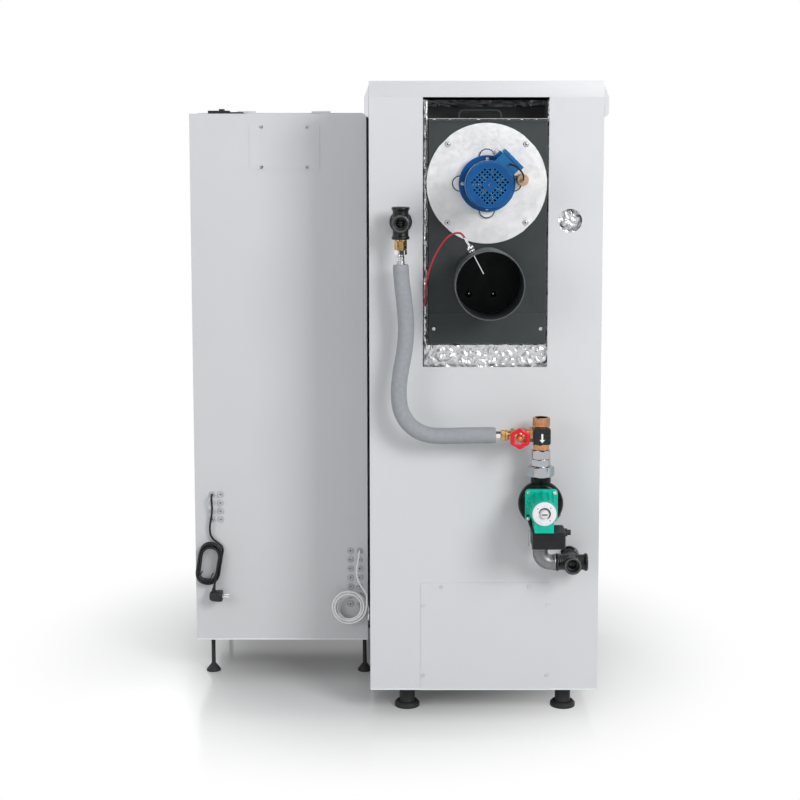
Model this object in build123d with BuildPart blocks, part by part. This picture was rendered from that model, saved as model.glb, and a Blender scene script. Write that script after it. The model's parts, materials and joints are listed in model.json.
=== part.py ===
"""Pellet boiler with a separate hopper cabinet, modelled with its rear towards +Y.

Millimetres, +Z up. The origin is at the floor, in the middle of the outline seen from above.
The hopper cabinet stands at +X of the boiler cabinet and is set back from the boiler's rear.
"""

from build123d import *
from math import cos, hypot, radians, sin, tan
import os

os.makedirs("parts", exist_ok=True)

# Boiler cabinet
boiler_width = 554.0
boiler_depth = 760.0
boiler_top = 1538.0
casing_bottom = 62.0
lid_height = 38.0
sheet = 2.0
trim_proud = 11.0
trim_rise = 28.0
trim_drop = 45.0
trim_clearance = 0.3

# Hopper cabinet
hopper_width = 446.0
hopper_setback = 255.0
hopper_bottom = 104.0
hopper_top = 1467.0
cabinet_gap = 14.0

# Reach of the pieces that stand furthest out, rear and front
pipe_out = 60.0
pump_neck = 20.0
pump_flange = 8.0
pump_motor_length = 84.0
knob_proud = 8.0
handle_proud = 45.0

rear_reach = pipe_out + pump_neck + pump_flange + pump_motor_length + knob_proud
overall_width = boiler_width + trim_proud + cabinet_gap + hopper_width
overall_depth = boiler_depth + rear_reach + handle_proud

# Cabinet faces
rear_y = overall_depth / 2 - rear_reach
front_y = rear_y - boiler_depth
hopper_x1 = overall_width / 2
hopper_x0 = hopper_x1 - hopper_width
boiler_x1 = hopper_x0 - cabinet_gap
boiler_x0 = boiler_x1 - boiler_width
hopper_rear_y = rear_y - hopper_setback
casing_top = boiler_top - lid_height
boiler_mid_x = (boiler_x0 + boiler_x1) / 2
hopper_mid_x = (hopper_x0 + hopper_x1) / 2

# Sheet-metal screws
screw_r = 1.9
screw_head_r = 4.2
screw_head = 2.2
screw_grip = 4.5

# Running and seating clearances
running = 0.05
seat = 0.3
free_gap = 0.5

# Threaded pipework, one inch: tapping radius, pipe radius, waterway radius
tap_r = 15.15
pipe_r = 16.85
water_r = 12.5
tap_length = 17.0
spigot_length = 14.0
arm = 38.0
arm_r = 18.5
bead_r = 21.3
bead_width = 6.0

# Places across the rear, as distances from the hopper side of the boiler
supply_in = 75.2
supply_z = 1207.0
return_in = 482.0
return_z = 399.0
stack_in = 407.0
pump_z = 543.0
pump_span = 130.0
branch_z = 708.0
pipe_y = rear_y + pipe_out
supply_x = boiler_x1 - supply_in
return_x = boiler_x1 - return_in
stack_x = boiler_x1 - stack_in

# Smoke box and fan
flue_in = 280.5
flue_width = 279.0
flue_bottom = 917.0
flue_top = 1447.0
flue_depth = 110.0
flue_proud = 4.0
flue_wall = 3.0
flue_lip = 3.0
fan_in = 278.0
fan_z = 1298.0
plate_r = 142.0
plate_thick = 4.0
plate_flat = 141.0
plate_bolt_r = 130.5
ear_pcd_r = 63.0
ear_r = 16.5
ear_thick = 6.0
ear_bolt_r = 58.0
stub_r = 80.0
stub_wall = 2.0
stub_length = 140.0
stub_root = 0.6
spigot_run = 56.0
stub_z = 1068.0
flue_x = boiler_x1 - flue_in
fan_x = boiler_x1 - fan_in
flue_face_y = rear_y + flue_proud

# Fan motor
motor_flange_r = 66.5
motor_flange_thick = 12.0
motor_r = 49.0
motor_length = 84.0
fin_count = 28
fin_height = 4.0
cowl_r = 55.5
cowl_wall = 1.2
cowl_length = 66.0
grille_hole = 5.3
grille_pitch = 8.2
grille_r = 41.0
shaft_r = 7.0
core_r = 25.0
air_gap = 0.5
impeller_r = 100.0
impeller_depth = 42.0
impeller_blades = 10
cooling_r = 44.0
cooling_blades = 7

# Pressure vessel
jacket = 45.0
plate_5 = 5.0
insulation = 38.0
vessel_bottom = 100.0
vessel_top = 1480.0
lower_chamber = (150.0, 740.0)
upper_chamber = (820.0, 1400.0)
port_r = 58.0

# Doors and front
door_thick = 28.0
frame_thick = 2.0
lower_door_z = (70.0, 772.0)
upper_door_z = (778.0, 1318.0)
control_z = (1324.0, 1498.0)
knuckle_r = 6.0
knuckle_out = 7.0
knuckle_length = 26.0
hinge_pin_r = 3.0
hinge_leaf = 3.0
hinge_inset = 90.0
handle_inset = 46.0
spindle_r = 6.0
handle_length = 125.0
handle_width = 22.0
button_r = 9.0
button_travel = 3.0
dial_r = 21.0

# Auger feed
auger_z = 300.0
auger_y = -170.0
auger_tube_r = 38.0
auger_wall = 3.0
auger_screw_r = 33.0
auger_shaft_r = 9.0
auger_pitch = 55.0
auger_start = 30.0
auger_run = 520.0
pot_size = 190.0

# Hoses, cables and coils
foam_r = 19.5
hose_r = 9.5
probe_cable_r = 2.5
mains_r = 2.75
sensor_r = 2.5
hank_turns = 5
coil_turns = 8


def facing_back(x, y, z):
    return Plane(origin=(x, y, z), x_dir=(1, 0, 0), z_dir=(0, 1, 0))


def facing_left(x, y, z):
    return Plane(origin=(x, y, z), x_dir=(0, 1, 0), z_dir=(1, 0, 0))


def facing_up(x, y, z):
    return Plane(origin=(x, y, z), x_dir=(1, 0, 0), z_dir=(0, 0, 1))


def block(x, y, z, mode=Mode.ADD):
    """Adds or cuts a box between pairs of coordinates."""
    with BuildSketch(Plane.XY.offset(z[0])) as base:
        with Locations(((x[0] + x[1]) / 2, (y[0] + y[1]) / 2)):
            Rectangle(x[1] - x[0], y[1] - y[0])
    extrude(base.sketch, amount=z[1] - z[0], mode=mode)


def disc(plane, radius, length, mode=Mode.ADD):
    """Adds or cuts a cylinder that starts on a plane."""
    with BuildSketch(plane) as base:
        Circle(radius)
    extrude(base.sketch, amount=length, mode=mode)


def prism(plane, across_flats, sides, length, turn=0.0, mode=Mode.ADD):
    """Adds or cuts a regular prism, such as a hexagon for a spanner."""
    with BuildSketch(plane) as base:
        RegularPolygon(across_flats / 2, sides, major_radius=False, rotation=turn)
    extrude(base.sketch, amount=length, mode=mode)


def export(piece, name):
    piece.part.label = name
    export_step(piece.part, f"parts/{name}.step")


def corner_radii(points):
    """The largest even arc that each corner's two runs allow."""
    radii = []
    for before, corner, after in zip(points, points[1:], points[2:]):
        a, b = Vector(corner) - Vector(before), Vector(after) - Vector(corner)
        turn = radians(a.get_angle(b))
        radii.append(0.45 * min(a.length, b.length) / tan(turn / 2))
    return radii


def tube(points, radius, bore=0.0):
    """Sweeps a tube along straight runs that are joined by tangent arcs."""
    radii = corner_radii(points)
    with BuildLine() as route:
        FilletPolyline(*points, radius=radii)
    path = route.wire()
    with BuildSketch(Plane(origin=path @ 0, z_dir=path % 0)) as section:
        Circle(radius)
        if bore:
            Circle(bore, mode=Mode.SUBTRACT)
    sweep(section.sketch, path=path)
    return min(radii), path.length


def biarc_route(stations):
    """Joins (point, direction) stations by pairs of tangent arcs."""
    joints = []
    for (p, t), (q, u) in zip(stations, stations[1:]):
        p, t, q, u = Vector(p), Vector(t).normalized(), Vector(q), Vector(u).normalized()
        chord = q - p
        both = t + u
        a = 4.0 - both.dot(both)
        b = 2.0 * chord.dot(both)
        c = -chord.dot(chord)
        reach = -c / b if abs(a) < 1e-9 else (-b + (b * b - 4 * a * c) ** 0.5) / (2 * a)
        middle = ((p + t * reach) + (q - u * reach)) * 0.5
        joints.append((p, t, middle))
        joints.append((middle, (q - u * reach) - (p + t * reach), q))
    return joints


def wind(stations, radius):
    """Sweeps a wound tube through its stations."""
    with BuildLine() as route:
        for start, direction, end in biarc_route(stations):
            if Vector(direction).get_angle(Vector(end) - Vector(start)) < 0.01:
                Line(start, end)
            else:
                TangentArc(start, end, tangent=direction)
    with BuildSketch(Plane(origin=stations[0][0], z_dir=stations[0][1])) as section:
        Circle(radius)
    sweep(section.sketch, path=route.wire())
    return route.wire()


def least_gap(line, radius, skip, steps=1500):
    """The least gap of a wound tube to itself, measured on points along its centre."""
    points = [line @ (i / steps) for i in range(steps + 1)]
    apart = int(skip / line.length * steps)
    least = min(
        (points[i] - points[j]).length
        for i in range(0, len(points), 3)
        for j in range(i + apart, len(points), 2)
    )
    return least - 2 * radius


# Plinth under the boiler and floor tray of the hopper
foot_inset_in = 89.5
foot_inset_out = 77.5
foot_y_inset = 66.0
hopper_rod_in = 10.4
hopper_rod_out = 34.0
hopper_rod_y = 65.0
rail = 60.0
boiler_feet = [
    (x, y)
    for x in (boiler_x1 - foot_inset_in, boiler_x0 + foot_inset_out)
    for y in (rear_y - foot_y_inset, front_y + foot_y_inset)
]
hopper_feet = [
    (x, y)
    for x in (hopper_x0 + hopper_rod_in, hopper_x1 - hopper_rod_out)
    for y in (hopper_rear_y - hopper_rod_y, front_y + hopper_rod_y)
]
frame_y = front_y + door_thick + free_gap
foot_stem_r = 19.0
foot_disc_r = 31.0
foot_disc_height = 13.0
foot_stud_r = 6.0
rod_r = 5.3
rod_base_r = 18.5
rod_base_height = 20.0
rod_nut_height = 8.0
floor_thick = 3.0
rod_clearance = 0.1

with BuildPart() as base_frames:
    x = (boiler_x0 + sheet, boiler_x1 - sheet)
    y = (frame_y, rear_y - sheet - screw_grip)
    block(x, y, (casing_bottom, vessel_bottom))
    block((x[0] + 40, x[1] - 40), (y[0] + 40, y[1] - 40), (casing_bottom, vessel_bottom), Mode.SUBTRACT)
    for x_side in ((x[0], x[0] + 2 * rail), (x[1] - 2 * rail, x[1])):
        for y_side in ((y[0], y[0] + 2 * rail), (y[1] - 2 * rail, y[1])):
            block(x_side, y_side, (casing_bottom, casing_bottom + 6))
    for foot_x, foot_y in boiler_feet:
        disc(facing_up(foot_x, foot_y, casing_bottom), foot_stud_r + running, 12, Mode.SUBTRACT)
    block(
        (hopper_x0 + sheet, hopper_x1 - sheet),
        (front_y + sheet, hopper_rear_y - sheet),
        (hopper_bottom, hopper_bottom + floor_thick),
    )
    for foot_x, foot_y in hopper_feet:
        disc(facing_up(foot_x, foot_y, hopper_bottom), rod_r + rod_clearance, floor_thick, Mode.SUBTRACT)
export(base_frames, "base_frames")

with BuildPart() as levelling_feet:
    for foot_x, foot_y in boiler_feet:
        disc(facing_up(foot_x, foot_y, 0), foot_disc_r, foot_disc_height - 5)
        with BuildSketch(facing_up(foot_x, foot_y, foot_disc_height - 5)):
            Circle(foot_disc_r)
        extrude(amount=5, taper=45)
        disc(facing_up(foot_x, foot_y, foot_disc_height - 1), foot_stem_r, casing_bottom - foot_disc_height + 1)
        disc(facing_up(foot_x, foot_y, casing_bottom), foot_stud_r, 11)
    for foot_x, foot_y in hopper_feet:
        disc(facing_up(foot_x, foot_y, 0), rod_base_r, 4)
        with BuildSketch(facing_up(foot_x, foot_y, 4)):
            Circle(rod_base_r)
        extrude(amount=rod_base_height - 4, taper=38)
        disc(facing_up(foot_x, foot_y, 4), rod_r, hopper_bottom + floor_thick + 14 - 4)
        prism(facing_up(foot_x, foot_y, hopper_bottom - rod_nut_height), 16.0, 6, rod_nut_height)
export(levelling_feet, "levelling_feet")

# Casing sheets
side_y = (frame_y, rear_y - sheet)
with BuildPart() as side_panels:
    for x in ((boiler_x0, boiler_x0 + sheet), (boiler_x1 - sheet, boiler_x1)):
        block(x, side_y, (casing_bottom, casing_top))
    disc(
        facing_left(boiler_x1 - sheet, auger_y, auger_z),
        auger_tube_r + 2,
        sheet,
        Mode.SUBTRACT,
    )
export(side_panels, "side_panels")

# Rear panel with its flue cut-out, pipe holes and service opening
cutout_width = 298.0
cutout_bottom = 860.0
cutout_corner = 4.0
cutout_in = 276.0
spare_hole_r = 28.0
spare_hole_in = 476.5
spare_hole_z = 1209.7
pipe_hole_r = 24.0
cover_width = 314.0
cover_top = 331.0
cover_lap = 14.0
cover_thick = 1.2
cover_in = 279.5
cover_x = boiler_x1 - cover_in
cover_x0, cover_x1 = cover_x - cover_width / 2, cover_x + cover_width / 2
cover_screw_edge = 6.0
cover_screw_low = 100.0
cover_screw_high = 275.0
cover_screw_top = 321.0
cover_screw_top_spread = 213.0
cover_screws = [
    (x, z)
    for x in (cover_x0 + cover_screw_edge, cover_x1 - cover_screw_edge)
    for z in (cover_screw_low, cover_screw_high)
] + [
    (cover_x - cover_screw_top_spread / 2, cover_screw_top),
    (cover_x + cover_screw_top_spread / 2, cover_screw_top),
]

with BuildPart() as rear_panel:
    block((boiler_x0, boiler_x1), (rear_y - sheet, rear_y), (casing_bottom, casing_top))
    with BuildSketch(facing_back(boiler_x1 - cutout_in, rear_y - sheet, casing_top)):
        with Locations((0, (casing_top - cutout_bottom) / 2)):
            Rectangle(cutout_width, casing_top - cutout_bottom)
    extrude(amount=sheet, mode=Mode.SUBTRACT)
    disc(facing_back(boiler_x1 - spare_hole_in, rear_y - sheet, spare_hole_z), spare_hole_r, sheet, Mode.SUBTRACT)
    disc(facing_back(supply_x, rear_y - sheet, supply_z), pipe_hole_r, sheet, Mode.SUBTRACT)
    disc(facing_back(return_x, rear_y - sheet, return_z), pipe_hole_r, sheet, Mode.SUBTRACT)
    block(
        (cover_x0 + cover_lap, cover_x1 - cover_lap),
        (rear_y - sheet, rear_y),
        (casing_bottom + 40, cover_top - 2 * cover_lap),
        Mode.SUBTRACT,
    )
    for x, z in cover_screws:
        disc(facing_back(x, rear_y - sheet, z), screw_r + running, sheet, Mode.SUBTRACT)
    corners = rear_panel.edges().filter_by(Axis.Y).filter_by_position(Axis.Z, cutout_bottom - 1, cutout_bottom + 1)
    fillet(corners, cutout_corner)
export(rear_panel, "rear_panel")

# Lift-off lid with its two side trims
with BuildPart() as top_lid:
    block((boiler_x0, boiler_x1), (front_y, rear_y), (casing_top, boiler_top))
    block(
        (boiler_x0 + sheet, boiler_x1 - sheet),
        (front_y + sheet, rear_y - sheet),
        (casing_top, boiler_top - sheet),
        Mode.SUBTRACT,
    )
    lid_rim = top_lid.edges().group_by(Axis.Z)[-1]
    fillet(lid_rim, sheet * 0.7)
    for face_x, out in ((boiler_x1, 1), (boiler_x0, -1)):
        with BuildSketch(Plane(origin=(0, rear_y - 1, 0), x_dir=(1, 0, 0), z_dir=(0, -1, 0))):
            with BuildLine():
                Polyline(
                    (face_x, casing_top + trim_rise),
                    (face_x + out * trim_proud, casing_top),
                    (face_x + out * trim_proud, casing_top - trim_drop + 9),
                    (face_x + out * trim_proud * 0.6, casing_top - trim_drop),
                    (face_x + out * trim_clearance, casing_top - trim_drop),
                    (face_x + out * trim_clearance, casing_top),
                    (face_x, casing_top),
                    close=True,
                )
            make_face()
        extrude(amount=boiler_depth - 2)
export(top_lid, "top_lid")

# Pressure vessel: outer shell, two chambers, a flue port, two pipe sockets and the feed sleeve
vessel_x = (boiler_x0 + insulation, boiler_x1 - insulation)
vessel_y = (frame_y + frame_thick, rear_y - flue_depth + flue_proud)
chamber_x = (vessel_x[0] + jacket, vessel_x[1] - jacket)
chamber_back = vessel_y[1] - jacket
with BuildPart() as vessel:
    block(vessel_x, vessel_y, (vessel_bottom, vessel_top))
    block(
        (vessel_x[0] + plate_5, vessel_x[1] - plate_5),
        (vessel_y[0] + plate_5, vessel_y[1] - plate_5),
        (vessel_bottom + plate_5, vessel_top - plate_5),
        Mode.SUBTRACT,
    )
    for low, high in (lower_chamber, upper_chamber):
        block(
            (chamber_x[0] - plate_5, chamber_x[1] + plate_5),
            (vessel_y[0], chamber_back + plate_5),
            (low - plate_5, high + plate_5),
        )
    block(
        (boiler_mid_x - 90, boiler_mid_x + 90),
        (chamber_back - 150, chamber_back),
        (lower_chamber[1], upper_chamber[0]),
    )
    for low, high in (lower_chamber, upper_chamber):
        block(chamber_x, (vessel_y[0], chamber_back), (low, high), Mode.SUBTRACT)
    block(
        (boiler_mid_x - 85, boiler_mid_x + 85),
        (chamber_back - 145, chamber_back - 5),
        (lower_chamber[1], upper_chamber[0]),
        Mode.SUBTRACT,
    )
    disc(facing_back(fan_x, chamber_back, fan_z), port_r + plate_5, vessel_y[1] - chamber_back)
    disc(facing_back(fan_x, chamber_back - 1, fan_z), port_r, vessel_y[1] - chamber_back + 2, Mode.SUBTRACT)
    for socket_x, socket_z in ((supply_x, supply_z), (return_x, return_z)):
        face = pipe_y - arm - seat
        disc(facing_back(socket_x, vessel_y[1], socket_z), pipe_r, face - vessel_y[1])
        disc(facing_back(socket_x, face, socket_z), tap_r - running, spigot_length)
        disc(
            facing_back(socket_x, vessel_y[1] - plate_5, socket_z),
            water_r,
            face + spigot_length - vessel_y[1] + plate_5,
            Mode.SUBTRACT,
        )
    disc(
        facing_left(chamber_x[1], auger_y, auger_z),
        auger_tube_r + 2 + plate_5,
        vessel_x[1] - chamber_x[1],
    )
    disc(
        facing_left(chamber_x[1] - 1, auger_y, auger_z),
        auger_tube_r + 2,
        vessel_x[1] - chamber_x[1] + 2,
        Mode.SUBTRACT,
    )
export(vessel, "vessel")

# Foil-faced insulation behind and beside the vessel
foil_set_in = 16.0
probe_entry = (boiler_x1 - 133.6, 1006.0)
pocket_gap = 2.5
flue_x0, flue_x1 = flue_x - flue_width / 2, flue_x + flue_width / 2
pad_x = (boiler_x0 + sheet + seat, boiler_x1 - sheet - seat)
with BuildPart() as foil_insulation:
    block(pad_x, (vessel_y[1], rear_y - foil_set_in), (vessel_bottom, casing_top - 6))
    block(
        (flue_x0 - pocket_gap, flue_x1 + pocket_gap),
        (vessel_y[1], rear_y - foil_set_in),
        (flue_bottom - pocket_gap, casing_top),
        Mode.SUBTRACT,
    )
    for socket_x, socket_z in ((supply_x, supply_z), (return_x, return_z)):
        disc(
            facing_back(socket_x, vessel_y[1], socket_z),
            pipe_r + 1,
            flue_depth,
            Mode.SUBTRACT,
        )
    disc(
        facing_back(probe_entry[0], rear_y - foil_set_in - 10, probe_entry[1]),
        probe_cable_r + seat,
        10,
        Mode.SUBTRACT,
    )
    for x in ((pad_x[0], vessel_x[0] - seat), (vessel_x[1] + seat, pad_x[1])):
        block(x, (vessel_y[0], vessel_y[1] - seat), (vessel_bottom, casing_top - 6))
    disc(
        facing_left(vessel_x[1], auger_y, auger_z),
        auger_tube_r + 2,
        insulation,
        Mode.SUBTRACT,
    )
export(foil_insulation, "foil_insulation")

# Smoke box with the fan opening, the flue opening and the port from the vessel
fan_opening_r = 118.0
box_y = (rear_y - flue_depth + flue_proud, flue_face_y)
plate_bolts = [
    (fan_x + plate_bolt_r * cos(radians(a)), fan_z + plate_bolt_r * sin(radians(a)))
    for a in (45, 135, 225, 315)
]
flue_cover_top = 989.0
flue_cover_edge = 3.0
flue_cover_thick = 2.0
flue_cover_screws = [(flue_x - 127.0, 953.0), (flue_x + 127.0, 953.0)]
bolt_r = 3.0
bolt_head_r = 5.6

with BuildPart() as flue_box:
    block((flue_x0, flue_x1), box_y, (flue_bottom, flue_top))
    block(
        (flue_x0 + flue_wall, flue_x1 - flue_wall),
        (box_y[0] + flue_wall, box_y[1] - flue_wall),
        (flue_bottom + flue_wall, flue_top - flue_wall),
        Mode.SUBTRACT,
    )
    block((flue_x0, flue_x1), (box_y[0], box_y[1] + flue_lip), (flue_top - flue_wall, flue_top))
    disc(facing_back(fan_x, box_y[1] - flue_wall, fan_z), fan_opening_r, flue_wall, Mode.SUBTRACT)
    disc(facing_back(flue_x, box_y[1] - flue_wall, stub_z), stub_r - stub_wall, flue_wall, Mode.SUBTRACT)
    disc(facing_back(fan_x, box_y[0], fan_z), port_r, flue_wall, Mode.SUBTRACT)
    for x, z in plate_bolts:
        disc(facing_back(x, box_y[1] - flue_wall, z), bolt_r + running, flue_wall, Mode.SUBTRACT)
    for x, z in flue_cover_screws:
        disc(facing_back(x, box_y[1] - flue_wall, z), screw_r + running, flue_wall, Mode.SUBTRACT)
export(flue_box, "flue_box")

# Flue stub with the boss that holds the gas probe
probe_out = 66.0
probe_angle = 61.8
probe_dir = (cos(radians(probe_angle)), 0, sin(radians(probe_angle)))
probe_r = 2.5
probe_inner = 24.0
probe_outer = 120.0
boss_r = 6.5
boss_top = 90.0
probe_y = flue_face_y + probe_out


def probe_plane(distance):
    return Plane(
        origin=(flue_x + distance * probe_dir[0], probe_y, stub_z + distance * probe_dir[2]),
        x_dir=(0, 1, 0),
        z_dir=probe_dir,
    )


with BuildPart() as flue_stub:
    disc(facing_back(flue_x, flue_face_y, stub_z), stub_r, stub_length)
    disc(facing_back(flue_x, flue_face_y, stub_z), stub_r + stub_root, stub_length - spigot_run)
    disc(probe_plane(stub_r - 6), boss_r, boss_top - stub_r + 6)
    disc(facing_back(flue_x, flue_face_y, stub_z), stub_r - stub_wall, stub_length, Mode.SUBTRACT)
    disc(probe_plane(stub_r - 12), probe_r + running, boss_top, Mode.SUBTRACT)
export(flue_stub, "flue_stub")

with BuildPart() as flue_probe:
    disc(probe_plane(probe_inner), probe_r, probe_outer - probe_inner)
    disc(probe_plane(boss_top), 5.0, 7.0)
export(flue_probe, "flue_probe")

# Fan plate: a disc with four flats and a cast boss with four ears
plate_y = flue_face_y
with BuildPart() as fan_plate:
    with BuildSketch(facing_back(fan_x, plate_y, fan_z)):
        Circle(plate_r)
        Rectangle(2 * plate_flat, 2 * plate_flat, rotation=45, mode=Mode.INTERSECT)
    extrude(amount=plate_thick)
    with BuildSketch(facing_back(fan_x, plate_y + plate_thick, fan_z)):
        Circle(ear_pcd_r - 2)
        with PolarLocations(ear_pcd_r, 4):
            Circle(ear_r)
    extrude(amount=ear_thick)
    disc(facing_back(fan_x, plate_y, fan_z), shaft_r + 1, plate_thick + ear_thick, Mode.SUBTRACT)
    for x, z in plate_bolts:
        disc(facing_back(x, plate_y, z), bolt_r + running, plate_thick, Mode.SUBTRACT)
export(fan_plate, "fan_plate")

# Motor: flange ring, finned body with the stator bore, bearings at both ends
motor_y0 = plate_y + plate_thick + ear_thick
motor_y1 = motor_y0 + motor_flange_thick
motor_y2 = motor_y1 + motor_length
core_y = (motor_y1 + 8, motor_y2 - 10)
ear_bolts = [(fan_x + ear_bolt_r * c, fan_z + ear_bolt_r * s) for c, s in ((0, 1), (1, 0), (0, -1), (-1, 0))]
with BuildPart() as motor_body:
    disc(facing_back(fan_x, motor_y0, fan_z), motor_flange_r, motor_flange_thick)
    disc(facing_back(fan_x, motor_y1, fan_z), motor_r, motor_length)
    with BuildSketch(facing_back(fan_x, motor_y1, fan_z)):
        with PolarLocations(motor_r - 0.5 + fin_height / 2, fin_count):
            Rectangle(fin_height + 1, 2.4)
    extrude(amount=motor_length - 30)
    disc(facing_back(fan_x, core_y[0], fan_z), core_r + air_gap, core_y[1] - core_y[0], Mode.SUBTRACT)
    disc(facing_back(fan_x, motor_y0, fan_z), shaft_r + running, motor_y2 - motor_y0, Mode.SUBTRACT)
    for x, z in ear_bolts:
        disc(facing_back(x, motor_y0, z), bolt_r + running, motor_flange_thick, Mode.SUBTRACT)
export(motor_body, "motor_body")

cowl_y0 = motor_y2 - 22
cowl_y1 = cowl_y0 + cowl_length
with BuildPart() as fan_cowl:
    disc(facing_back(fan_x, cowl_y0, fan_z), cowl_r, cowl_length)
    chamfer(fan_cowl.edges().group_by(Axis.Y)[-1], 4)
    disc(facing_back(fan_x, cowl_y0 + 4, fan_z), cowl_r - cowl_wall, cowl_length - 4 - cowl_wall - 3, Mode.SUBTRACT)
    disc(facing_back(fan_x, cowl_y0, fan_z), motor_r + seat, 4, Mode.SUBTRACT)
    disc(facing_back(fan_x, cowl_y1 - 6, fan_z), cowl_r - 6, 6 - cowl_wall, Mode.SUBTRACT)
    with BuildSketch(facing_back(fan_x, cowl_y1 - cowl_wall - 0.5, fan_z)):
        with GridLocations(grille_pitch, grille_pitch, 11, 11) as cells:
            kept = [
                Location((0, 0, 0), (0, 0, 45)) * place
                for place in cells.local_locations
                if hypot(*tuple(place.position)[:2]) < grille_r
                and max(abs(place.position.X), abs(place.position.Y)) > 1.6 * grille_pitch
            ]
        with Locations(*kept):
            Rectangle(grille_hole, grille_hole)
        Circle(2.6)
    extrude(amount=cowl_wall + 1, mode=Mode.SUBTRACT)
export(fan_cowl, "fan_cowl")

# Rotor: impeller in the smoke box, shaft, core in the stator and cooling fan under the cowl
impeller_y = box_y[1] - flue_wall - 20 - impeller_depth
cooling_y = motor_y2 + 6
with BuildPart() as fan_rotor:
    disc(facing_back(fan_x, impeller_y, fan_z), shaft_r, cooling_y + 14 - impeller_y)
    disc(facing_back(fan_x, core_y[0] + 4, fan_z), core_r, core_y[1] - core_y[0] - 8)
    disc(facing_back(fan_x, impeller_y + impeller_depth - 3, fan_z), impeller_r, 3)
    disc(facing_back(fan_x, impeller_y, fan_z), 18, impeller_depth)
    with BuildSketch(facing_back(fan_x, impeller_y, fan_z)):
        with PolarLocations(impeller_r * 0.68, impeller_blades):
            Rectangle(impeller_r * 0.6, 2.5, rotation=32)
    extrude(amount=impeller_depth - 2)
    disc(facing_back(fan_x, cooling_y, fan_z), 14, 14)
    with BuildSketch(facing_back(fan_x, cooling_y, fan_z)):
        with PolarLocations(cooling_r / 2 + 4, cooling_blades):
            Rectangle(cooling_r - 10, 2.5)
    extrude(amount=14)
export(fan_rotor, "fan_rotor")

# Terminal box on the motor, tilted 45 degrees towards the upper right as seen from behind
terminal_base = motor_r + seat
terminal_height = 36.0
terminal_width = 61.0
terminal_y = (motor_y1 + 5, motor_y1 + 57)
terminal_dir = (-cos(radians(45)), 0, sin(radians(45)))
terminal_side = (-sin(radians(45)), 0, -cos(radians(45)))


def terminal_plane(distance):
    return Plane(
        origin=(
            fan_x + distance * terminal_dir[0],
            (terminal_y[0] + terminal_y[1]) / 2,
            fan_z + distance * terminal_dir[2],
        ),
        x_dir=terminal_side,
        z_dir=terminal_dir,
    )


terminal_depth = terminal_y[1] - terminal_y[0]
gland_up = 66.0
gland_plane = Plane(
    origin=Vector(*[o + gland_up * d for o, d in zip((fan_x, 0, fan_z), terminal_dir)])
    + Vector(0, terminal_y[0] + 20, 0)
    - Vector(*terminal_side) * ((terminal_width - 8) / 2),
    x_dir=(0, 1, 0),
    z_dir=tuple(-c for c in terminal_side),
)
with BuildPart() as motor_terminal_box:
    with BuildSketch(terminal_plane(terminal_base)):
        Rectangle(terminal_width - 8, terminal_depth - 6)
    extrude(amount=terminal_height - 8)
    with BuildSketch(terminal_plane(terminal_base + terminal_height - 8)):
        Rectangle(terminal_width, terminal_depth)
    extrude(amount=8)
    prism(gland_plane, 19.0, 6, 9.0)
    disc(gland_plane.offset(9.0), 8.0, 9.0)
    disc(facing_back(fan_x, terminal_y[0] - 1, fan_z), motor_r + fin_height + 0.1, terminal_depth + 2, Mode.SUBTRACT)
export(motor_terminal_box, "motor_terminal_box")

# Start capacitor on the fan plate, with the motor's short lead looping to it
capacitor_x = fan_x - 81.5
capacitor_z = fan_z + 9.5
capacitor_r = 14.0
capacitor_y0 = plate_y + plate_thick + ear_thick
capacitor_y1 = flue_face_y + 58.0
capacitor_boot = 6.0
lead_r = 2.2
with BuildPart() as motor_capacitor:
    disc(facing_back(capacitor_x, capacitor_y0, capacitor_z), capacitor_r, capacitor_y1 - capacitor_y0)
    chamfer(motor_capacitor.edges().group_by(Axis.Y)[-1], 2)
    disc(facing_back(capacitor_x, capacitor_y1, capacitor_z), 5.0, capacitor_boot)
export(motor_capacitor, "motor_capacitor")

lead_points = [
    (fan_x - 50.0, terminal_y[1], fan_z + 46.0),
    (fan_x - 50.0, terminal_y[1] + 11, fan_z + 46.0),
    (fan_x - 59.0, terminal_y[1] + 19, fan_z + 43.0),
    (fan_x - 72.0, terminal_y[1] + 20, fan_z + 34.0),
    (fan_x - 80.5, terminal_y[1] + 12, fan_z + 21.0),
    (capacitor_x, terminal_y[1] - 3, capacitor_z + 3),
    (capacitor_x, capacitor_y1 + capacitor_boot + 4, capacitor_z),
    (capacitor_x, capacitor_y1 + capacitor_boot, capacitor_z),
]
with BuildPart() as motor_cable:
    least, length = tube(lead_points, lead_r)
print(f"motor cable: least radius {least:.1f}, length {length:.0f}")
export(motor_cable, "motor_cable")

# Probe cable: over the smoke box and into the gap beside it
probe_tip = probe_plane(probe_outer).origin
probe_points = [
    tuple(probe_tip),
    tuple(probe_tip + Vector(*probe_dir) * 13.0),
    (boiler_x1 - 200.0, probe_y - 1, 1185.0),
    (boiler_x1 - 181.0, rear_y + 64.0, 1172.0),
    (boiler_x1 - 162.0, rear_y + 54.0, 1143.0),
    (boiler_x1 - 146.0, rear_y + 39.0, 1108.0),
    (boiler_x1 - 136.0, rear_y + 22.0, 1070.0),
    (boiler_x1 - 133.6, rear_y + 7.0, 1035.0),
    (probe_entry[0], rear_y - 1.0, probe_entry[1] + 6),
    (probe_entry[0], rear_y - foil_set_in + 2, probe_entry[1]),
    (probe_entry[0], rear_y - foil_set_in - 10, probe_entry[1]),
]
with BuildPart() as probe_cable:
    least, length = tube(probe_points, probe_cable_r)
print(f"probe cable: least radius {least:.1f}, length {length:.0f}")
export(probe_cable, "probe_cable")

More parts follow.
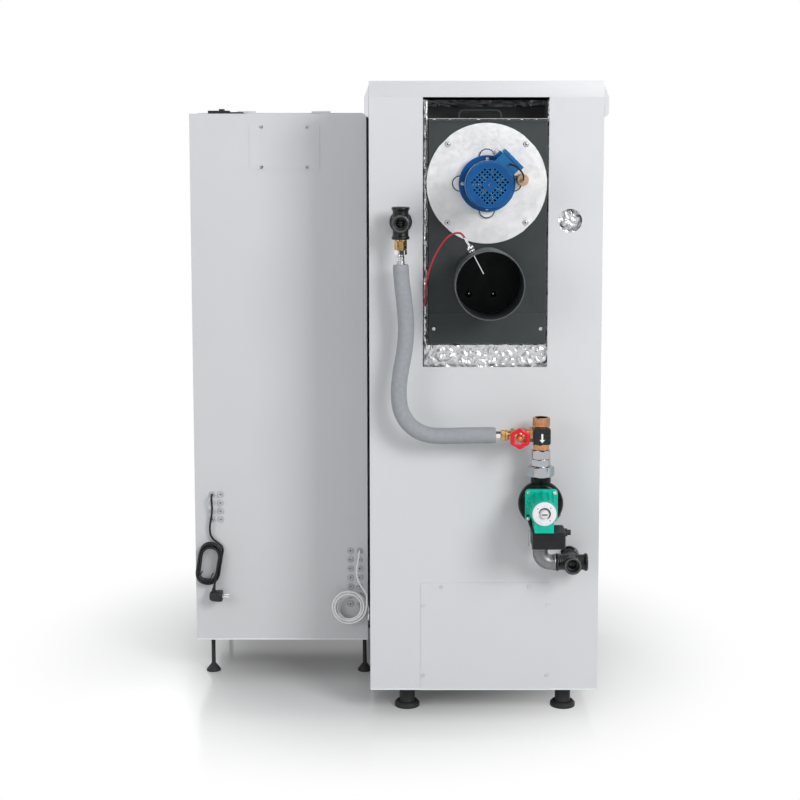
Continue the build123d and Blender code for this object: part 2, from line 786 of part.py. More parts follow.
# Removable covers: lower rear, smoke box and hopper inspection plate
inspect_in = -220.5
inspect_width = 178.0
inspect_z = (1328.0, 1441.0)
inspect_thick = 1.2
inspect_x = boiler_x1 - inspect_in
inspect_screws = [
    (inspect_x + dx, z) for dx in (-57.5, 57.5) for z in (1333.0, 1434.0)
]
with BuildPart() as service_covers:
    block((cover_x0, cover_x1), (rear_y, rear_y + cover_thick), (casing_bottom, cover_top))
    for x, z in cover_screws:
        disc(facing_back(x, rear_y, z), screw_r + running, cover_thick, Mode.SUBTRACT)
    block(
        (flue_x0 + flue_cover_edge, flue_x1 - flue_cover_edge),
        (flue_face_y, flue_face_y + flue_cover_thick),
        (flue_bottom + flue_cover_edge, flue_cover_top),
    )
    disc(facing_back(flue_x, flue_face_y, stub_z), stub_r + stub_root + 0.5, flue_cover_thick, Mode.SUBTRACT)
    for x, z in flue_cover_screws:
        disc(facing_back(x, flue_face_y, z), screw_r + running, flue_cover_thick, Mode.SUBTRACT)
    block(
        (inspect_x - inspect_width / 2, inspect_x + inspect_width / 2),
        (hopper_rear_y, hopper_rear_y + inspect_thick),
        inspect_z,
    )
    for x, z in inspect_screws:
        disc(facing_back(x, hopper_rear_y, z), screw_r + running, inspect_thick, Mode.SUBTRACT)
export(service_covers, "service_covers")

with BuildPart() as screws_and_bolts:
    for x, z in cover_screws:
        disc(facing_back(x, rear_y + cover_thick, z), screw_head_r, screw_head)
        disc(facing_back(x, rear_y - screw_grip, z), screw_r, screw_grip + cover_thick)
    for x, z in flue_cover_screws:
        disc(facing_back(x, flue_face_y + flue_cover_thick, z), screw_head_r, screw_head)
        disc(facing_back(x, flue_face_y - screw_grip, z), screw_r, screw_grip + flue_cover_thick)
    for x, z in inspect_screws:
        disc(facing_back(x, hopper_rear_y + inspect_thick, z), screw_head_r, screw_head)
        disc(facing_back(x, hopper_rear_y - screw_grip, z), screw_r, screw_grip + inspect_thick)
    for x, z in plate_bolts:
        disc(facing_back(x, plate_y + plate_thick, z), bolt_head_r, 3.0)
        disc(facing_back(x, plate_y - 8, z), bolt_r, plate_thick + 8)
    for x, z in ear_bolts:
        prism(facing_back(x, motor_y1, z), 8.0, 6, 5.0)
        disc(facing_back(x, motor_y0, z), bolt_r, motor_flange_thick)
export(screws_and_bolts, "screws_and_bolts")


# Pipework behind the panel
def port(plane, length, mode=Mode.ADD):
    """One arm of a malleable fitting with its bead, from the fitting's centre."""
    disc(plane, arm_r, length, mode)
    disc(plane.offset(length - bead_width), bead_r, bead_width, mode)


def directed(centre, direction):
    side = (1, 0, 0) if abs(direction[0]) < 0.5 else (0, 1, 0)
    return Plane(origin=centre, x_dir=side, z_dir=direction)


def fitting(centre, ways, open_ways):
    """A bored malleable fitting with a tapped end at each way."""
    for way in ways:
        port(directed(centre, way), arm)
    for way in ways:
        plane = directed(centre, way)
        disc(plane, water_r, arm, Mode.SUBTRACT)
        disc(plane.offset(arm - tap_length), tap_r, tap_length, Mode.SUBTRACT)
    for way in open_ways:
        with BuildSketch(directed(centre, way).offset(arm - 1.5)) as rim:
            Circle(tap_r)
        extrude(rim.sketch, amount=1.5, taper=-35, mode=Mode.SUBTRACT)


up, down, back, front = (0, 0, 1), (0, 0, -1), (0, 1, 0), (0, -1, 0)
left, right = (1, 0, 0), (-1, 0, 0)
supply_centre = (supply_x, pipe_y, supply_z)
collar_r = 27.0
with BuildPart() as supply_cross:
    fitting(supply_centre, (up, down, back, front), (up, back))
    disc(facing_back(supply_x, rear_y + seat, supply_z), collar_r, pipe_out - arm - 2 * seat)
    disc(facing_back(supply_x, rear_y, supply_z), pipe_r + seat, pipe_out - arm, Mode.SUBTRACT)
export(supply_cross, "supply_cross")

return_centre = (return_x, pipe_y, return_z)
with BuildPart() as return_cross:
    fitting(return_centre, (left, right, back, front), (right, back))
export(return_cross, "return_cross")

elbow_reach = stack_x - return_x - arm - seat
elbow_r = 20.0
elbow_bend = 26.0
with BuildPart() as return_elbow:
    with BuildLine() as bend:
        FilletPolyline(
            (stack_x, pipe_y, return_z + arm),
            (stack_x, pipe_y, return_z),
            (stack_x - elbow_reach, pipe_y, return_z),
            radius=elbow_bend,
        )
    with BuildSketch(facing_up(stack_x, pipe_y, return_z + arm)):
        Circle(elbow_r - 2)
    sweep(path=bend.line)
    disc(facing_up(stack_x, pipe_y, return_z + arm - bead_width), elbow_r + 1, bead_width)
    disc(directed((stack_x - elbow_reach + bead_width, pipe_y, return_z), right), elbow_r, bead_width)
    disc(directed((stack_x - elbow_reach, pipe_y, return_z), right), tap_r - running, spigot_length)
    with BuildLine() as waterway:
        FilletPolyline(
            (stack_x, pipe_y, return_z + arm),
            (stack_x, pipe_y, return_z),
            (stack_x - elbow_reach - spigot_length, pipe_y, return_z),
            radius=elbow_bend,
        )
    with BuildSketch(facing_up(stack_x, pipe_y, return_z + arm)):
        Circle(water_r - 1)
    sweep(path=waterway.line, mode=Mode.SUBTRACT)
    disc(facing_up(stack_x, pipe_y, return_z + arm - tap_length), tap_r, tap_length, Mode.SUBTRACT)
export(return_elbow, "return_elbow")

# Pump: cast housing between two unions, finned motor, terminal box and speed selector
pump_low = pump_z - pump_span / 2
pump_high = pump_z + pump_span / 2
volute_r = 54.0
volute_y = (pipe_y - 26, pipe_y + pump_neck)
port_body_r = 24.0
with BuildPart() as pump_housing:
    disc(facing_back(stack_x, volute_y[0], pump_z), volute_r, volute_y[1] - volute_y[0])
    chamfer(pump_housing.edges().filter_by(GeomType.CIRCLE).group_by(Axis.Y)[0], 14)
    disc(facing_up(stack_x, pipe_y, pump_low), port_body_r - 4, pump_span)
    for z in (pump_low, pump_high - 16):
        disc(facing_up(stack_x, pipe_y, z), port_body_r, 16)
    disc(facing_up(stack_x, pipe_y, pump_low), water_r, 30, Mode.SUBTRACT)
    disc(facing_up(stack_x, pipe_y, pump_high - 30), water_r, 30, Mode.SUBTRACT)
    disc(facing_back(stack_x, pipe_y - 14, pump_z), 40, 28, Mode.SUBTRACT)
export(pump_housing, "pump_housing")

flange_size = 77.0
box_top = pump_z - 45.5
box_height = 40.5
flange_corner = 9.0
motor_root_r = 35.0
motor_front_r = 30.5
rib_count = 14
pump_y0 = pipe_y + pump_neck
pump_y1 = pump_y0 + pump_flange
pump_y2 = pump_y1 + pump_motor_length
with BuildPart() as pump_motor:
    with BuildSketch(facing_back(stack_x, pump_y0, pump_z)):
        RectangleRounded(flange_size, flange_size, flange_corner)
    extrude(amount=pump_flange)
    with BuildSketch(facing_back(stack_x, pump_y1, pump_z)):
        Circle(motor_root_r)
    with BuildSketch(facing_back(stack_x, pump_y2 - 14, pump_z)):
        Circle(motor_front_r - 2.5)
    loft()
    with BuildSketch(facing_back(stack_x, pump_y1, pump_z)):
        with PolarLocations((motor_root_r + motor_front_r) / 2 - 1, rib_count):
            Rectangle(12, 2.6)
    extrude(amount=pump_motor_length - 14)
    disc(facing_back(stack_x, pump_y2 - 14, pump_z), motor_front_r, 14)
    block(
        (stack_x - 22, stack_x + 22),
        (pump_y1 + 6, pump_y2 - 2),
        (box_top, pump_z - 20),
    )
    disc(facing_back(stack_x, pump_y2 - 2, pump_z), motor_front_r - 2.5, 2, Mode.SUBTRACT)
    for dx in (-31, 31):
        for dz in (-31, 31):
            disc(facing_back(stack_x + dx, pump_y1 - 3, pump_z + dz), 4.2, 3, Mode.SUBTRACT)
export(pump_motor, "pump_motor")

selector_r = 9.5
with BuildPart() as pump_face:
    disc(facing_back(stack_x, pump_y2 - 2, pump_z), motor_front_r - 2.5, 3)
    disc(facing_back(stack_x, pump_y2 - 2, pump_z), 3 + running, 3, Mode.SUBTRACT)
export(pump_face, "pump_face")

with BuildPart() as pump_selector:
    disc(facing_back(stack_x, pump_y2 - 1.5, pump_z), 3, 4)
    disc(facing_back(stack_x, pump_y2 + 1 + free_gap, pump_z), selector_r, knob_proud - 1 - free_gap)
    with BuildSketch(facing_back(stack_x, pump_y2 + knob_proud - 2, pump_z)):
        Rectangle(2.4, selector_r * 1.5)
    extrude(amount=2, mode=Mode.SUBTRACT)
    chamfer(pump_selector.edges().group_by(Axis.Y)[-1].filter_by(GeomType.CIRCLE), 1)
export(pump_selector, "pump_selector")

box_width = 77.0
box_z = (box_top - box_height, box_top)
pump_box_y = (pump_y1 + 4, pump_y2 - 6)
box_shift = 12.0
with BuildPart() as pump_terminal_box:
    block(
        (stack_x - box_width / 2 - box_shift, stack_x + box_width / 2 - box_shift),
        pump_box_y,
        box_z,
    )
    fillet(pump_terminal_box.edges().filter_by(Axis.Z), 6)
    fillet(pump_terminal_box.edges().group_by(Axis.Z)[0], 3)
    side_x = stack_x - box_width / 2 - box_shift
    gland = directed((side_x, pump_box_y[0] + 22, box_z[1] - 12), right)
    prism(gland, 17.0, 6, 8.0)
    disc(gland.offset(8.0), 6.5, 8.0)
export(pump_terminal_box, "pump_terminal_box")

# Unions and nuts of the pump stack
union_flats = 56.0
lower_union_flats = 50.0
collar_flats = 41.0
nut_flats = 42.0
union_top = pump_high + 26.0
collar_top = union_top + 16.0
valve_bottom = collar_top + 22.0
with BuildPart() as pipe_unions:
    prism(facing_up(stack_x, pipe_y, pump_high), union_flats, 6, union_top - pump_high, turn=0)
    prism(facing_up(stack_x, pipe_y, union_top), collar_flats, 6, collar_top - union_top, turn=12)
    prism(facing_up(stack_x, pipe_y, collar_top), nut_flats, 6, valve_bottom - collar_top, turn=5)
    disc(facing_up(stack_x, pipe_y, pump_high), water_r, valve_bottom - pump_high, Mode.SUBTRACT)
    prism(facing_up(stack_x, pipe_y, return_z + arm), lower_union_flats, 6, pump_low - return_z - arm, turn=8)
    disc(facing_up(stack_x, pipe_y, return_z + arm - spigot_length), tap_r - running, spigot_length)
    disc(
        facing_up(stack_x, pipe_y, return_z + arm - spigot_length),
        water_r - 1,
        pump_low - return_z - arm + spigot_length,
        Mode.SUBTRACT,
    )
export(pipe_unions, "pipe_unions")

# Thermal valve: brass body with an octagonal top port, a branch and a square cover
valve_top = 749.0
valve_r = 19.0
octagon_flats = 42.0
cover_size = (40.5, 39.5)
cover_y = (pipe_y + 2, pipe_y + 33)
branch_r = 16.0
branch_end = stack_x + 36.0
with BuildPart() as thermal_valve:
    disc(facing_up(stack_x, pipe_y, valve_bottom), valve_r, valve_top - valve_bottom)
    prism(facing_up(stack_x, pipe_y, valve_bottom), 38.0, 6, 15.0, turn=10)
    prism(facing_up(stack_x, pipe_y, valve_top - 21), octagon_flats, 8, 21, turn=22.5)
    disc(directed((stack_x, pipe_y, branch_z), left), branch_r - 3, branch_end - stack_x)
    prism(directed((stack_x + 15, pipe_y, branch_z), left), 2 * branch_r, 6, 13.5, turn=10)
    disc(facing_up(stack_x, pipe_y, valve_bottom), water_r, valve_top - valve_bottom, Mode.SUBTRACT)
    disc(facing_up(stack_x, pipe_y, valve_top - tap_length), tap_r, tap_length, Mode.SUBTRACT)
    disc(directed((stack_x, pipe_y, branch_z), left), 9.5, branch_end - stack_x, Mode.SUBTRACT)
    block(
        (stack_x - 30, stack_x + 30),
        (pipe_y + 16.5, pipe_y + 40),
        (branch_z - cover_size[1] / 2 - seat, branch_z + cover_size[1] / 2 + seat),
        Mode.SUBTRACT,
    )
export(thermal_valve, "thermal_valve")

with BuildPart() as thermal_valve_cover:
    with BuildSketch(facing_back(stack_x, pipe_y + 16.5, branch_z)):
        RectangleRounded(cover_size[0], cover_size[1], 4)
    extrude(amount=cover_y[1] - pipe_y - 16.5)
    fillet(thermal_valve_cover.edges().group_by(Axis.Y)[-1], 2)
export(thermal_valve_cover, "thermal_valve_cover")

# Gate valve on the branch, with its bonnet and stem housing towards the rear
gate_x = stack_x + 53.0
gate_r = 13.5
gate_x0 = branch_end + seat
gate_x1 = stack_x + 73.0
bonnet_out = 30.0
stem_r = 3.5
wheel_y = pipe_y + 40.0
wheel_r = 25.0
wheel_thick = 8.0
wheel_lobes = 6
gate_z = branch_z - 2
gate_belly_r = 15.5
gate_belly = 22.0
with BuildPart() as gate_valve:
    disc(directed((gate_x0, pipe_y, gate_z), left), gate_r, gate_x1 - gate_x0)
    prism(directed((gate_x0, pipe_y, gate_z), left), 30.0, 6, 9.0, turn=14)
    prism(directed((gate_x1 - 9, pipe_y, gate_z), left), 29.0, 6, 9.0, turn=14)
    disc(directed((gate_x - gate_belly / 2, pipe_y, gate_z), left), gate_belly_r, gate_belly)
    disc(facing_back(gate_x, pipe_y, gate_z), 11.0, bonnet_out)
    prism(facing_back(gate_x, pipe_y + 17, gate_z), 22.0, 6, 8.0)
    disc(directed((gate_x0, pipe_y, gate_z), left), 9.0, gate_x1 - gate_x0, Mode.SUBTRACT)
    disc(facing_back(gate_x, pipe_y + 12, gate_z), stem_r + running, bonnet_out, Mode.SUBTRACT)
export(gate_valve, "gate_valve")

with BuildPart() as valve_handwheel:
    with BuildSketch(facing_back(gate_x, wheel_y, gate_z)):
        Circle(wheel_r - 3.2)
        with PolarLocations(wheel_r - 6.0, wheel_lobes, start_angle=30):
            Circle(6.2)
        Circle(wheel_r - 9.5, mode=Mode.SUBTRACT)
    extrude(amount=wheel_thick)
    fillet(valve_handwheel.edges().group_by(Axis.Y)[-1], 2.2)
    disc(facing_back(gate_x, wheel_y - 2, gate_z), 5.5, wheel_thick)
    with BuildSketch(facing_back(gate_x, wheel_y, gate_z)):
        with PolarLocations(wheel_r * 0.4, 3, start_angle=90):
            Rectangle(wheel_r * 0.64, 5)
    extrude(amount=4)
    disc(facing_back(gate_x, pipe_y + 14, gate_z), stem_r, wheel_y - pipe_y - 14 + wheel_thick - 1)
export(valve_handwheel, "valve_handwheel")

# Hose with its foam sleeve and end fittings
tail_r = 7.7
upper_face = supply_z - arm
hose_points = [
    (supply_x, pipe_y, 1119.0),
    (supply_x - 1.0, pipe_y, 1080.0),
    (supply_x - 9.0, pipe_y, 1020.0),
    (supply_x - 14.0, pipe_y, 960.0),
    (supply_x - 9.0, pipe_y, 903.0),
    (supply_x + 2.0, pipe_y, 850.0),
    (supply_x + 6.0, pipe_y, 800.0),
    (supply_x - 1.0, pipe_y, 757.0),
    (supply_x - 26.0, pipe_y, 723.0),
    (supply_x - 64.0, pipe_y, 705.0),
    (supply_x - 110.0, pipe_y, gate_z - 2),
    (supply_x - 166.0, pipe_y, gate_z),
    (boiler_x1 - 299.5, pipe_y, gate_z),
]
with BuildPart() as hose_foam:
    least, length = tube(hose_points, foam_r, hose_r + seat)
print(f"hose: least radius {least:.1f}, length {length:.0f}")
export(hose_foam, "hose_foam")

hex_z = upper_face - 24.0
nut_z = hex_z - 12.0
lower_nut_x = boiler_x1 - 299.5
gate_inlet = (gate_x1, lower_nut_x - 12.0)
with BuildPart() as steel_hose:
    tube(hose_points, hose_r)
    disc(facing_up(supply_x, pipe_y, hose_points[0][2]), tail_r, nut_z - hose_points[0][2])
    prism(facing_up(supply_x, pipe_y, nut_z), 27.0, 6, hex_z - nut_z, turn=10)
    prism(directed((lower_nut_x, pipe_y, gate_z), right), 17.5, 6, 12.0, turn=0)
export(steel_hose, "steel_hose")

with BuildPart() as brass_adaptors:
    prism(facing_up(supply_x, pipe_y, hex_z), 26.0, 6, upper_face - hex_z, turn=0)
    disc(facing_up(supply_x, pipe_y, upper_face), tap_r - running, spigot_length)
    disc(facing_up(supply_x, pipe_y, upper_face), 7.0, spigot_length, Mode.SUBTRACT)
    disc(directed((gate_inlet[1], pipe_y, gate_z), right), 10.0, gate_inlet[1] - gate_inlet[0])
    prism(directed((gate_inlet[1], pipe_y, gate_z), right), 26.0, 6, gate_inlet[1] - gate_inlet[0] - 3, turn=20)
export(brass_adaptors, "brass_adaptors")

# Front frame with both door openings, and its hinge pins
frame_x = (boiler_x0 + sheet, boiler_x1 - sheet)
hinge_x = boiler_x0
hinge_y = front_y - knuckle_out
door_spans = {"lower": lower_door_z, "upper": upper_door_z}


def knuckle_heights(span):
    """Bottom of the fixed knuckle at each of a door's two hinges."""
    low, high = span
    return (low + hinge_inset, high - hinge_inset - 2 * knuckle_length)


with BuildPart() as front_frame:
    block(frame_x, (frame_y, frame_y + frame_thick), (vessel_bottom, casing_top - 4))
    for low, high in (lower_chamber, upper_chamber):
        block(chamber_x, (frame_y, frame_y + frame_thick), (low, high), Mode.SUBTRACT)
    for span in door_spans.values():
        for z in knuckle_heights(span):
            block((hinge_x - hinge_leaf, hinge_x), (hinge_y, frame_y + 40), (z, z + knuckle_length))
            disc(facing_up(hinge_x, hinge_y, z), knuckle_r, knuckle_length)
            disc(facing_up(hinge_x, hinge_y, z), hinge_pin_r, 2 * knuckle_length - 2)
export(front_frame, "front_frame")


def door(span):
    """A hollow door leaf with its two hinge knuckles and the handle's spindle hole."""
    low, high = span
    x = (boiler_x0 + free_gap, boiler_x1 - free_gap)
    y = (front_y, front_y + door_thick)
    block(x, y, (low, high))
    block(
        (x[0] + sheet, x[1] - sheet),
        (y[0] + sheet, y[1] - sheet),
        (low + sheet, high - sheet),
        Mode.SUBTRACT,
    )
    for z in knuckle_heights(span):
        top = z + knuckle_length + free_gap
        height = knuckle_length - free_gap
        block((hinge_x, hinge_x + 34), (front_y - 3, front_y), (top, top + height))
        disc(facing_up(hinge_x, hinge_y, top), knuckle_r, height)
        block((hinge_x - 2, hinge_x + 6), (front_y - 4, front_y - 0), (top, top + height))
        disc(facing_up(hinge_x, hinge_y, top), hinge_pin_r + running, height, Mode.SUBTRACT)
    disc(
        facing_back(boiler_x1 - handle_inset, front_y, (low + high) / 2),
        spindle_r + running,
        door_thick,
        Mode.SUBTRACT,
    )


def handle(span):
    """A lever that hangs down from its rose, on a spindle through the door."""
    z = sum(span) / 2
    x = boiler_x1 - handle_inset
    disc(facing_back(x, front_y - handle_proud + 12, z), spindle_r, handle_proud - 12 + door_thick)
    disc(facing_back(x, front_y - 8 - free_gap, z), 19.0, 8)
    with BuildSketch(facing_back(x, front_y - handle_proud, z)) as lever:
        with Locations((0, handle_length / 2 - handle_width / 2)):
            SlotOverall(handle_length, handle_width, rotation=90)
    extrude(lever.sketch, amount=16)


with BuildPart() as lower_door:
    door(lower_door_z)
export(lower_door, "lower_door")

with BuildPart() as upper_door:
    door(upper_door_z)
export(upper_door, "upper_door")

with BuildPart() as lower_handle:
    handle(lower_door_z)
export(lower_handle, "lower_handle")

with BuildPart() as upper_handle:
    handle(upper_door_z)
export(upper_handle, "upper_handle")

# Control fascia with its window, dial and power button
dial_x = boiler_mid_x + 110.0
button_x = boiler_mid_x + 190.0
control_mid_z = sum(control_z) / 2
with BuildPart() as control_panel:
    block((boiler_x0, boiler_x1), (front_y, frame_y), control_z)
    block(
        (boiler_x0 + sheet, boiler_x1 - sheet),
        (front_y + 3, frame_y),
        (control_z[0] + sheet, control_z[1] - sheet),
        Mode.SUBTRACT,
    )
    block(
        (boiler_mid_x - 140, boiler_mid_x + 50),
        (front_y, front_y + 1),
        (control_mid_z - 45, control_mid_z + 45),
        Mode.SUBTRACT,
    )
    disc(facing_back(dial_x, front_y, control_mid_z), 3 + running, 3, Mode.SUBTRACT)
    disc(facing_back(button_x, front_y, control_mid_z), button_r + running, 3, Mode.SUBTRACT)
export(control_panel, "control_panel")

with BuildPart() as control_dial:
    disc(facing_back(dial_x, front_y - 16 - free_gap, control_mid_z), dial_r, 16)
    disc(facing_back(dial_x, front_y - free_gap, control_mid_z), 3, 14)
    chamfer(control_dial.edges().group_by(Axis.Y)[0], 2)
export(control_dial, "control_dial")

with BuildPart() as power_button:
    disc(facing_back(button_x, front_y - button_travel - 1, control_mid_z), button_r, 14)
export(power_button, "power_button")

# Burner pot and ash drawer in the lower chamber
pot_x = (boiler_mid_x - pot_size / 2, boiler_mid_x + pot_size / 2)
pot_z = (auger_z - 55, auger_z + 110)
rail = 14.0
with BuildPart() as burner_pot:
    block(pot_x, (auger_y - pot_size / 2, auger_y + pot_size / 2), pot_z)
    disc(facing_up(boiler_mid_x, auger_y, auger_z - 20), 68, pot_z[1] - auger_z + 20, Mode.SUBTRACT)
    disc(facing_left(boiler_mid_x, auger_y, auger_z), auger_tube_r - auger_wall, pot_size, Mode.SUBTRACT)
    for y in (auger_y - pot_size / 2, auger_y + pot_size / 2 - rail):
        block((chamber_x[0] + seat, chamber_x[1] - seat), (y, y + rail), (pot_z[0] - rail, pot_z[0]))
export(burner_pot, "burner_pot")

drawer_x = (chamber_x[0] + 20, chamber_x[1] - 20)
drawer_y = (vessel_y[0] + 8, chamber_back - 60)
drawer_z = (lower_chamber[0], pot_z[0] - rail - 6)
pull_x = 60.0
pull_out = 6.0
pull_up = 50.0
with BuildPart() as ash_drawer:
    block(drawer_x, drawer_y, drawer_z)
    block(
        (drawer_x[0] + sheet, drawer_x[1] - sheet),
        (drawer_y[0] + sheet, drawer_y[1] - sheet),
        (drawer_z[0] + sheet, drawer_z[1]),
        Mode.SUBTRACT,
    )
    block(
        (boiler_mid_x - pull_x, boiler_mid_x + pull_x),
        (drawer_y[0] - pull_out, drawer_y[0]),
        (drawer_z[0] + pull_up, drawer_z[0] + pull_up + 4),
    )
export(ash_drawer, "ash_drawer")

# Auger: tube from the gear motor to the pot, screw, and gear motor in the hopper
tube_x0 = pot_x[1] + seat
tube_x1 = tube_x0 + auger_run
inlet_x = (hopper_mid_x - 45, hopper_mid_x + 45)
inlet_y = (auger_y - 28, auger_y + 28)
collar_z = auger_z + auger_tube_r + 14
with BuildPart() as auger_tube:
    disc(facing_left(tube_x0, auger_y, auger_z), auger_tube_r, auger_run)
    block((inlet_x[0] - 4, inlet_x[1] + 4), (inlet_y[0] - 4, inlet_y[1] + 4), (auger_z, collar_z))
    disc(facing_left(tube_x0, auger_y, auger_z), auger_tube_r - auger_wall, auger_run, Mode.SUBTRACT)
    block(inlet_x, inlet_y, (auger_z, collar_z), Mode.SUBTRACT)
    block(
        (inlet_x[0] + 15, inlet_x[1] - 15),
        (auger_y - 25, auger_y + 25),
        (hopper_bottom + floor_thick, auger_z - auger_tube_r + 4),
    )
export(auger_tube, "auger_tube")

with BuildPart() as auger_screw:
    disc(facing_left(tube_x0 + 6, auger_y, auger_z), auger_shaft_r, auger_run + 20)
    with BuildLine() as spiral:
        Helix(
            pitch=auger_pitch,
            height=auger_run - 2 * auger_start,
            radius=(auger_shaft_r + auger_screw_r) / 2,
            center=(tube_x0 + auger_start, auger_y, auger_z),
            direction=(1, 0, 0),
        )
    spiral_start = spiral.line @ 0
    outwards = spiral_start - Vector(spiral_start.X, auger_y, auger_z)
    with BuildSketch(Plane(origin=spiral_start, x_dir=outwards, z_dir=spiral.line % 0)):
        Rectangle(auger_screw_r - auger_shaft_r + 2, 3)
    sweep(path=spiral.line, is_frenet=True)
print(f"auger screw: volume {auger_screw.part.volume:.0f}, solids {len(auger_screw.part.solids())}")
export(auger_screw, "auger_screw")

gear_x = (tube_x1 + seat, tube_x1 + 74)
with BuildPart() as auger_gearmotor:
    block(gear_x, (auger_y - 45, auger_y + 45), (auger_z - 45, auger_z + 60))
    disc(facing_up(sum(gear_x) / 2, auger_y, auger_z + 60), 32, 90)
    disc(facing_left(gear_x[0], auger_y, auger_z), auger_shaft_r + running, 40, Mode.SUBTRACT)
    block(
        (gear_x[0] + 10, gear_x[1] - 10),
        (auger_y - 40, auger_y + 40),
        (hopper_bottom + floor_thick, auger_z - 45),
    )
export(auger_gearmotor, "auger_gearmotor")

# Hopper shell: one wrapped sheet with a top deck, plus the fixed half of the lid hinge
deck_rear = 78.0
deck_side = 22.0
deck_front = 30.0
lid_open_x = (hopper_x0 + deck_side, hopper_x1 - deck_side)
lid_open_y = (front_y + deck_front, hopper_rear_y - deck_rear)
lid_hinge_y = hopper_rear_y - deck_rear + 22
lid_plate = 3.0
lid_hinge_r = 4.0
lid_pin_r = 2.0
lid_hinge_z = hopper_top + lid_hinge_r
lid_overlap = 10.0
lid_hinge_xs = (hopper_mid_x - 130.0, hopper_mid_x + 60.0)
lid_knuckle = 24.0
grommet_hole_r = 6.0
left_grommets = [(boiler_x1 + 415.0 - i * 21.7, 490.5 - j * 21.7) for i in range(2) for j in range(4)]
right_grommets = [(boiler_x1 + 58.7 - i * 23.9, 342.1 - j * 23.6) for i in range(2) for j in range(7)]
grommet_places = left_grommets + right_grommets
with BuildPart() as hopper_shell:
    block((hopper_x0, hopper_x1), (front_y, hopper_rear_y), (hopper_bottom, hopper_top))
    block(
        (hopper_x0 + sheet, hopper_x1 - sheet),
        (front_y + sheet, hopper_rear_y - sheet),
        (hopper_bottom, hopper_top - sheet),
        Mode.SUBTRACT,
    )
    block(lid_open_x, lid_open_y, (hopper_top - sheet, hopper_top), Mode.SUBTRACT)
    disc(facing_left(hopper_x0, auger_y, auger_z), auger_tube_r + 2, sheet, Mode.SUBTRACT)
    block(
        (inspect_x - inspect_width / 2 + 20, inspect_x + inspect_width / 2 - 20),
        (hopper_rear_y - sheet, hopper_rear_y),
        (inspect_z[0] + 16, inspect_z[1] - 16),
        Mode.SUBTRACT,
    )
    for x, z in inspect_screws:
        disc(facing_back(x, hopper_rear_y - sheet, z), screw_r + running, sheet, Mode.SUBTRACT)
    for x, z in grommet_places:
        disc(facing_back(x, hopper_rear_y - sheet, z), grommet_hole_r, sheet, Mode.SUBTRACT)
    for x in lid_hinge_xs:
        block((x, x + lid_knuckle), (lid_hinge_y, lid_hinge_y + 18), (hopper_top, hopper_top + 2))
        disc(facing_left(x, lid_hinge_y, lid_hinge_z), lid_hinge_r, lid_knuckle)
        disc(facing_left(x, lid_hinge_y, lid_hinge_z), lid_pin_r, 2 * lid_knuckle)
export(hopper_shell, "hopper_shell")

with BuildPart() as hopper_lid:
    block(
        (lid_open_x[0] - lid_overlap, lid_open_x[1] + lid_overlap),
        (lid_open_y[0] - lid_overlap, lid_open_y[1] + lid_overlap),
        (hopper_top + seat, hopper_top + seat + lid_plate),
    )
    block(
        (lid_open_x[0] + 3, lid_open_x[1] - 3),
        (lid_open_y[0] + 3, lid_open_y[1] - 8),
        (hopper_top - 12, hopper_top + seat),
    )
    block(
        (lid_open_x[0] + 5, lid_open_x[1] - 5),
        (lid_open_y[0] + 5, lid_open_y[1] - 10),
        (hopper_top - 12, hopper_top + seat),
        Mode.SUBTRACT,
    )
    for x in lid_hinge_xs:
        start = x + lid_knuckle + free_gap
        length = lid_knuckle - 2 * free_gap
        block((start, start + length), (lid_hinge_y - 14, lid_hinge_y), (hopper_top + seat, hopper_top + seat + 2))
        disc(facing_left(start, lid_hinge_y, lid_hinge_z), lid_hinge_r - seat, length)
        disc(facing_left(start, lid_hinge_y, lid_hinge_z), lid_pin_r + running, length, Mode.SUBTRACT)
export(hopper_lid, "hopper_lid")

# Lid switch and cable clip on the rear deck
switch_x = (boiler_x1 + 361.0, boiler_x1 + 415.0)
switch_y = (hopper_rear_y - 46.0, hopper_rear_y - 20.0)
with BuildPart() as lid_switch:
    block(switch_x, switch_y, (hopper_top, hopper_top + 8))
    block((switch_x[0] + 14, switch_x[0] + 26), switch_y, (hopper_top + 8, hopper_top + 12))
    block((switch_x[0] - 34, switch_x[0] - 13), switch_y, (hopper_top, hopper_top + 4.5))
    disc(
        directed((switch_x[0] - 13, sum(switch_y) / 2, hopper_top + 2.5), left),
        2.2,
        13,
    )
export(lid_switch, "lid_switch")

grommet_r = 8.6
grommet_proud = 3.5
grommet_bore = 2.0
mains_exit = (left_grommets[0][0], left_grommets[0][1])
sensor_exit = (right_grommets[7][0], right_grommets[7][1])
with BuildPart() as cable_grommets:
    for x, z in grommet_places:
        disc(facing_back(x, hopper_rear_y, z), grommet_r, grommet_proud)
        disc(facing_back(x, hopper_rear_y - sheet - 4, z), grommet_hole_r - seat, sheet + 4)
    fillet(cable_grommets.edges().group_by(Axis.Y)[-1], 1.2)
    for x, z in grommet_places:
        if (x, z) not in (mains_exit, sensor_exit):
            disc(facing_back(x, hopper_rear_y - sheet - 4, z), grommet_bore, 20, Mode.SUBTRACT)
export(cable_grommets, "cable_grommets")

# Pellet bin: a flanged funnel that hangs in the shell over the auger's inlet
bin_top = hopper_top - 52.0
bin_knee = 860.0
bin_margin = 4.0
bin_x = (hopper_x0 + sheet + bin_margin, hopper_x1 - sheet - bin_margin)
bin_y = (front_y + sheet + bin_margin, hopper_rear_y - sheet - bin_margin)


